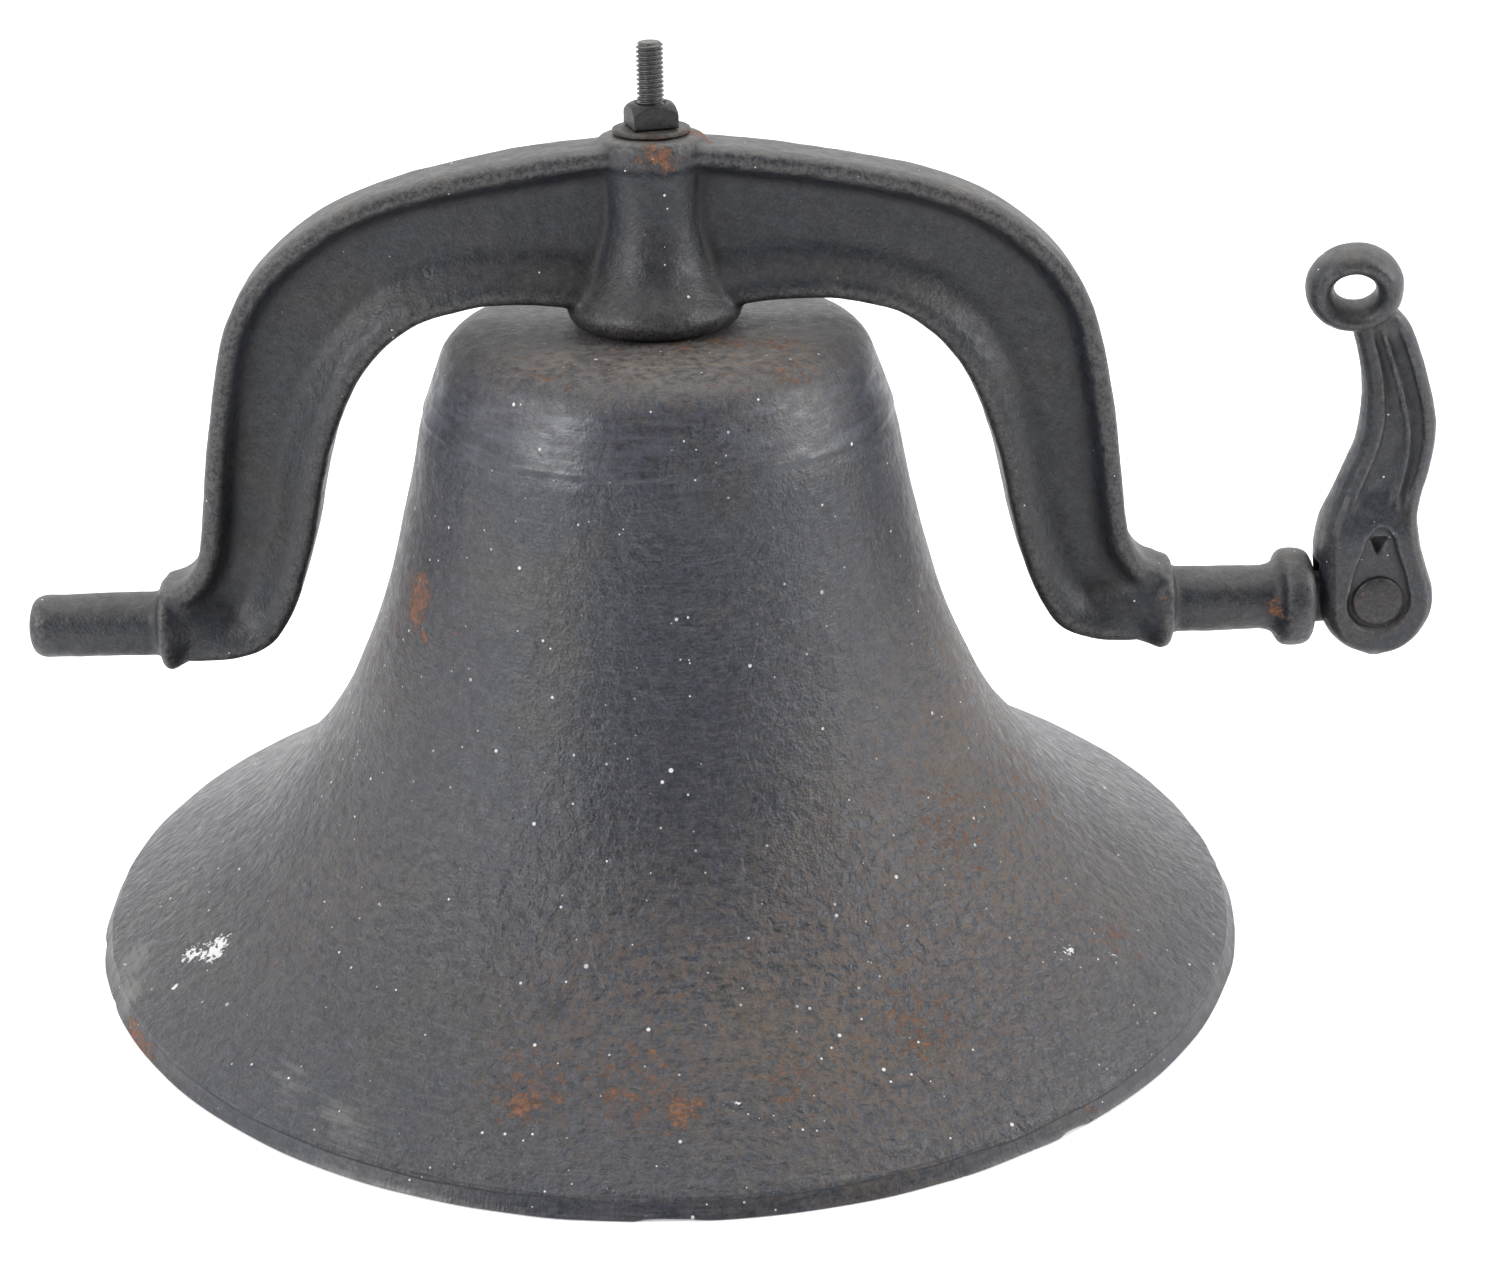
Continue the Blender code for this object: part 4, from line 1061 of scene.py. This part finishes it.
def lever_recess(side):
    """Sunk teardrop round the pin on one face of the fork."""
    point = [(9.4, 11.6), (5.8, 21), (3.4, 27.6), (-0.9, 31), (-5.4, 28.0), (-8, 21), (-10.8, 11.6)]
    drop = arc((0.0, 0.0), 12.4, 160, 380, 40) + [tuple(p) for p in smooth_line(point, 4)]
    middle = (-0.6, 3.0)
    floor = [(middle[0] + 0.90 * (x - middle[0]), middle[1] + 0.92 * (z - middle[1])) for x, z in drop]
    top, bottom = side * (FORK_HALF_DEPTH + 2.0), side * (FORK_HALF_DEPTH - RECESS_DEPTH)
    return skinned("recess", [[(x, top, z) for x, z in drop], [(x, bottom, z) for x, z in floor]])


def make_lever():
    lever = skinned("lever_casting", [lever_section(rib) for rib in lever_ribs()])
    combine(lever, rod("eye_seat", EYE_RING_RADIUS - 1.0, -20, 20, axis="Y", centre=EYE_CENTRE), "DIFFERENCE")
    combine(lever, rope_eye(), "UNION")
    for side in (-1, 1):
        combine(lever, lever_recess(side), "DIFFERENCE")
    combine(lever, slab("vent", [(-1.4, 17.2), (2.2, 25.2), (-5.0, 25.2)], -30, 30), "DIFFERENCE")
    cast(lever, voxel=0.62, smoothing=4)
    roughened(lever, (30.0, 0.14, 21), (9.0, 0.07, 22), (3.6, 0.035, 23))
    combine(lever, fork_slot(), "DIFFERENCE")
    combine(lever, rod("hole", PIN_RADIUS + GAP, -30, 30, axis="Y"), "DIFFERENCE")
    mark_edges(lever, reach=0.3)
    points = vertex_array(lever)
    mark(lever, "rust", spots_field(points, [
        (0, -11, 0, 12.5, 0.75), (0, 11, 0, 12.5, 0.75), (-18, -8, 126, 5, 0.7), (14, -8, -12, 8, 0.5),
        (-1, -6, 25, 5, 0.7),
        (-12, -5, 40, 8, 0.4), (16, 0, 12, 9, 0.5), (-15, 0, 130, 8, 0.3),
    ]))
    return placed(lever, PIN, sharp_angle=60.0)


def make_lever_pin():
    """Rivet with a low hammered head on each side of the fork."""
    seat = FORK_HALF_DEPTH - RECESS_DEPTH + GAP
    tip = seat + PIN_HEAD_THICKNESS
    head = PIN_HEAD_RADIUS
    half = [(0.0, tip), (3.0, tip - 0.02), (5.6, tip - 0.10), (head - 1.6, tip - 0.28),
            (head - 0.6, tip - 0.62), (head - 0.1, tip - 1.1), (head, seat + 0.4), (head - 0.2, seat),
            (PIN_RADIUS, seat)]
    pin = turned("lever_rivet", half + [(radius, -y) for radius, y in reversed(half)], 96, axis="Y")
    roughened(pin, (9.0, 0.07, 31))
    return placed(pin, PIN, sharp_angle=50.0)


# ---------------------------------------------------------------- hanger bolt, nut and washers

def thread_radius(angles, height):
    """Radius of a 60 degree thread round the stud, with its crests and roots a little flat."""
    turn = (height / THREAD_PITCH - angles / math.tau) % 1.0
    flank = np.abs(turn - 0.5) * 2.0
    depth = 0.58 * THREAD_PITCH
    return STUD_RADIUS - depth * eased(flank, 0.06, 0.94)


def make_hanger_bolt():
    """Threaded stud with a forged clevis at its lower end."""
    around, top = 64, STUD_TOP
    angles = np.arange(around) * math.tau / around
    heights = np.arange(CROWN_WASHER_BOTTOM - 3.0, top - 0.2, THREAD_PITCH / 14)
    rows = []
    for height in heights:
        cut = thread_radius(angles, height)
        threaded = float(eased(height, 284.0, 286.0))
        radius = STUD_RADIUS * (1.0 - threaded) + cut * threaded
        chamfer = STUD_RADIUS - 1.25 + (top - height)
        rows.append((np.minimum(radius, chamfer), height))
    rows.append((np.full(around, STUD_RADIUS - 1.5), top - 0.05))
    rows.append((np.full(around, STUD_RADIUS - 2.4), top))
    rows.append((np.full(around, 1.2), top - 0.25))
    grid = np.array([[(r * math.cos(a), r * math.sin(a), height) for r, a in zip(radius, angles)]
                     for radius, height in rows])
    stud = tube_grid("hanger_stud", grid, cap=True)

    shoulder = CROWN_WASHER_BOTTOM - GAP
    fillet = arc((CLEVIS_RADIUS - 1.6, shoulder - 1.6), 1.6, 90, 0, 6)
    profile = [(0.0, shoulder)] + fillet + [(CLEVIS_RADIUS, PIVOT_HEIGHT), (0.0, PIVOT_HEIGHT)]
    clevis = turned("clevis", profile, 72)
    reach = CLEVIS_RADIUS - 0.7
    pivot = (0, 0, PIVOT_HEIGHT)
    combine(clevis, rod("ears", CLEVIS_HALF_WIDTH, -reach, reach, axis="X", centre=pivot), "UNION")
    slot_top = shoulder - 9.0
    gap = CLEVIS_GAP_HALF
    slot = slab("slot", [(-gap, 150), (gap, 150), (gap, slot_top - 3), (gap - 3, slot_top),
                         (3 - gap, slot_top), (-gap, slot_top - 3)], -30, 30)
    combine(clevis, slot, "DIFFERENCE")
    for side in (-1, 1):
        flat = slab("flat", [(-30, 150), (30, 150), (30, shoulder - 5), (-30, shoulder - 5)],
                    side * (CLEVIS_HALF_WIDTH - 0.5), side * 30)
        combine(clevis, flat, "DIFFERENCE")
    cast(clevis, voxel=0.5, smoothing=3)
    combine(clevis, rod("hole", CLAPPER_PIN_RADIUS + GAP, -30, 30, axis="X", centre=pivot), "DIFFERENCE")
    combine(stud, clevis, "UNION")
    return placed(stud, AXIS, sharp_angle=45.0)


def make_nut():
    """Square nut with its top corners turned off, worn at the edges."""
    half = NUT_ACROSS_FLATS / 2
    corner = half * math.sqrt(2)
    box = [(-half, NUT_BOTTOM), (half, NUT_BOTTOM), (half, NUT_TOP), (-half, NUT_TOP)]
    nut = slab("nut", box, -half, half)
    envelope = turned("envelope", [
        (0.0, NUT_TOP), (half * 0.90, NUT_TOP), (half * 1.02, NUT_TOP - 0.5),
        (corner - 0.3, NUT_TOP - 3.0), (corner, NUT_TOP - 4.2), (corner, NUT_BOTTOM), (0.0, NUT_BOTTOM),
    ], 96)
    combine(nut, envelope, "INTERSECT")
    cast(nut, voxel=0.26, smoothing=4)
    roughened(nut, (6.0, 0.06, 41), (2.0, 0.02, 42))
    bore = STUD_RADIUS + 0.15
    throat = turned("throat", [(0.0, NUT_TOP + 1), (bore + 2.0, NUT_TOP + 1), (bore, NUT_TOP - 1.0),
                               (bore, NUT_BOTTOM + 0.8), (bore + 1.4, NUT_BOTTOM - 1),
                               (0.0, NUT_BOTTOM - 1)], 72)
    combine(nut, throat, "DIFFERENCE")
    nut.data.transform(Matrix.Rotation(NUT_TURN, 4, "Z"))
    return placed(nut, AXIS, sharp_angle=50.0)


def make_washer(name, radius, low, high, seed):
    edge = 0.45
    profile = [(WASHER_HOLE, high - 0.2), (WASHER_HOLE + 0.2, high)]
    profile += [(r, high) for r in np.linspace(WASHER_HOLE + 1.5, radius - 1.2, 5)]
    profile += arc((radius - edge, high - edge), edge, 90, 0, 4)
    profile += arc((radius - edge, low + edge), edge, 0, -90, 4)
    profile += [(WASHER_HOLE + 0.2, low), (WASHER_HOLE, low + 0.2)]
    washer = turned(name, profile, 144, closed=True)
    roughened(washer, (9.0, 0.05, seed), (3.0, 0.03, seed + 1))
    return placed(washer, AXIS, sharp_angle=50.0)


# ---------------------------------------------------------------- clapper

def make_clapper():
    """Ball, tapered shank and flat eye, cast in one and drawn round the pivot."""
    ball_z = BALL_HEIGHT - PIVOT_HEIGHT
    neck = ball_z + BALL_RADIUS
    tail = ball_z - BALL_RADIUS
    shank = [(0.0, -6.0), (4.6, -6.0), (5.0, -14), (5.4, -40), (6.0, -70), (7.2, neck + 16), (9.4, neck + 5)]
    ball = arc((0.0, ball_z), BALL_RADIUS, 66, -64, 40)
    foot = [(12.4, tail + 1.6), (12.0, tail - 0.6), (10.6, tail - 2.0), (6.0, tail - 2.4), (0.0, tail - 2.4)]
    clapper = turned("clapper_casting", shank + ball + foot, 96)
    eye = rod("eye", CLAPPER_EYE_RADIUS, -CLAPPER_EYE_HALF, CLAPPER_EYE_HALF, axis="X")
    combine(clapper, eye, "UNION")
    for side in (-1, 1):
        near = side * CLAPPER_EYE_HALF
        cheek = slab("cheek", [(near, -12.5), (side * 30, -12.5), (side * 30, 30), (near, 30)], -30, 30)
        combine(clapper, cheek, "DIFFERENCE")
    cast(clapper, voxel=0.75, smoothing=5)
    roughened(clapper, (34.0, 0.25, 51), (8.0, 0.08, 52))
    combine(clapper, rod("hole", CLAPPER_PIN_RADIUS + GAP, -30, 30, axis="X"), "DIFFERENCE")
    points = vertex_array(clapper)
    strike = [(0, side * BALL_RADIUS, ball_z + 4, 9, 1.0) for side in (-1, 1)]
    mark(clapper, "rubbed", spots_field(points, strike))
    return placed(clapper, PIVOT, sharp_angle=50.0)


def make_clapper_pin():
    """Headed pin through the clevis, drilled for its cotter."""
    head = CLEVIS_RADIUS + GAP
    end, radius, cap = CLAPPER_PIN_END, CLAPPER_PIN_RADIUS, CLAPPER_PIN_HEAD_RADIUS
    profile = [(0.0, end), (radius - 0.8, end), (radius - 0.2, end - 0.3), (radius, end - 0.9),
               (radius, -head), (cap - 0.2, -head), (cap, -head - 0.3), (cap, -head - 1.6),
               (cap - 0.5, -head - 2.3),
               (cap - 1.4, -head - 2.6), (0.0, -head - 2.6)]
    pin = turned("clapper_rivet", profile[::-1], 64, axis="X")
    hole = rod("hole", 1.2, -20, 20, centre=(COTTER_X, 0, 0), steps=24)
    combine(pin, hole, "DIFFERENCE")
    return placed(pin, PIVOT, sharp_angle=45.0)


def make_cotter():
    """Split pin bent from one wire: two legs through the pin, an eye above, tails opened below."""
    wire, apart = 0.5, 0.55
    eye_radius, eye_height = 2.3, CLAPPER_PIN_RADIUS + 3.6
    leg = [(3.4, -7.8), (2.4, -7.2), (apart + 0.3, -5.4), (apart, -3.8), (apart, 3.6)]
    loop = arc((0.0, eye_height), eye_radius, -62, 242, 16)
    other = [(-y, z) for y, z in reversed(leg)]
    points = smooth_line(leg + loop + other, 3)
    curve = bpy.data.curves.new("cotter", "CURVE")
    curve.dimensions = "3D"
    curve.bevel_depth = wire
    curve.bevel_resolution = 4
    curve.use_fill_caps = True
    spline = curve.splines.new("POLY")
    spline.points.add(len(points) - 1)
    for target, (y, z) in zip(spline.points, points):
        target.co = (COTTER_X, y, z, 1.0)
    shape = link(bpy.data.objects.new("cotter_curve", curve))
    depsgraph = bpy.context.evaluated_depsgraph_get()
    mesh = bpy.data.meshes.new_from_object(shape.evaluated_get(depsgraph))
    bpy.data.objects.remove(shape, do_unlink=True)
    return placed(link(bpy.data.objects.new("cotter_wire", mesh)), PIVOT, sharp_angle=45.0)


# ---------------------------------------------------------------- stage, lights and camera

# Brightness of the studio behind the camera, and of its white sides, back and ceiling
ROOM_FRONT = 0.08
ROOM_REST = 1.65


def make_stage():
    bpy.ops.mesh.primitive_plane_add(size=30.0, location=(0.0, 0.0, 0.0))
    floor = bpy.context.object
    floor.name = "floor"
    shader = Shader("floor_white")
    shader.surface.inputs["Emission Color"].default_value = (1.0, 1.0, 1.0, 1.0)
    shader.surface.inputs["Emission Strength"].default_value = 0.3
    floor.data.materials.append(shader.done((0.93, 0.93, 0.93), 0.9))
    world = bpy.data.worlds.new("studio")
    bpy.context.scene.world = world
    world.use_nodes = True
    tree = world.node_tree
    background = tree.nodes["Background"]
    coordinates = tree.nodes.new("ShaderNodeTexCoord")
    parts = tree.nodes.new("ShaderNodeSeparateXYZ")
    fade = tree.nodes.new("ShaderNodeMapRange")
    fade.interpolation_type = "SMOOTHSTEP"
    for socket, number in zip(fade.inputs[1:], (-0.85, 0.35, ROOM_FRONT, ROOM_REST)):
        socket.default_value = number
    tree.links.new(coordinates.outputs["Generated"], parts.inputs[0])
    tree.links.new(parts.outputs[1], fade.inputs[0])
    tree.links.new(fade.outputs[0], background.inputs["Strength"])
    background.inputs["Color"].default_value = (1.0, 1.0, 1.0, 1.0)


def add_softbox(name, place, aim, size, power):
    data = bpy.data.lights.new(name, "AREA")
    data.shape = "RECTANGLE"
    data.size, data.size_y = size
    data.energy = power
    lamp = link(bpy.data.objects.new(name, data))
    lamp.location = place
    lamp.rotation_euler = (Vector(aim) - Vector(place)).to_track_quat("-Z", "Y").to_euler()


def make_lights():
    add_softbox("left_box", (-1.45, -1.0, 0.95), (0, 0, 0.15), (0.5, 0.8), 22.0)
    add_softbox("right_box", (1.75, -0.45, 1.0), (0, 0, 0.15), (0.5, 0.8), 22.0)
    add_softbox("top_box", (0.0, 0.5, 2.0), (0, 0, 0.1), (1.4, 1.0), 10.0)


def make_camera():
    """The photograph's viewing angle: from the front, a little above, with a slight roll."""
    data = bpy.data.cameras.new("camera")
    data.sensor_width = 36.0
    data.lens = 62.53
    data.shift_x = 0.0663
    data.shift_y = -0.0236
    camera = link(bpy.data.objects.new("camera", data))
    pitch = math.radians(90.0 - 22.20)
    roll = math.radians(-1.38)
    place = Vector((AXIS.x - 0.0032, -0.8992, 0.4911))
    turn = Matrix.Rotation(pitch, 4, "X") @ Matrix.Rotation(roll, 4, "Z")
    camera.matrix_world = Matrix.Translation(place) @ turn
    bpy.context.scene.camera = camera
    bpy.context.scene.view_settings.view_transform = "Standard"


# ---------------------------------------------------------------- assembly

def build():
    yoke_paint = iron_material("yoke_paint", 40.0, 0.22, 0.75, 0.42, 0.40, 0.62)
    lever_paint = iron_material("lever_paint", 26.0, 0.30, 0.75, 0.26, 0.40, 0.75)
    stud_steel = steel_material("stud_steel", (0.105, 0.102, 0.10), 0.04, 0.34)
    nut_steel = steel_material("nut_steel", (0.036, 0.036, 0.038), 0.04, 0.42)
    washer_steel = steel_material("washer_steel", (0.075, 0.07, 0.066), 0.15, 0.48)
    pin_steel = steel_material("pin_steel", (0.050, 0.048, 0.049), 0.11, 0.42)
    wire_steel = steel_material("wire_steel", (0.22, 0.21, 0.20), 0.06, 0.35, relief=0.01)

    hung = "hung_bell"
    finish_piece(make_bell(), "bell", hung, bell_material())
    finish_piece(make_yoke(), "yoke", hung, yoke_paint)
    finish_piece(make_hanger_bolt(), "hanger_bolt", hung, stud_steel)
    finish_piece(make_nut(), "square_nut", hung, nut_steel)
    washer = make_washer("nut_washer", WASHER_RADIUS, PAD_TOP + GAP, WASHER_TOP, 61)
    finish_piece(washer, "flat_washer", hung, washer_steel)
    washer = make_washer("ceiling_washer", CROWN_WASHER_RADIUS, CROWN_WASHER_BOTTOM, CEILING - GAP, 63)
    finish_piece(washer, "crown_washer", hung, washer_steel)
    finish_piece(make_clapper(), "clapper", "clapper", rusty_iron_material())
    finish_piece(make_clapper_pin(), "clapper_pin", hung, pin_steel)
    finish_piece(make_cotter(), "cotter_pin", hung, wire_steel)
    finish_piece(make_lever(), "pull_lever", "lever", lever_paint)
    finish_piece(make_lever_pin(), "lever_pin", hung, pin_steel)
    make_stage()
    make_lights()
    make_camera()


build()
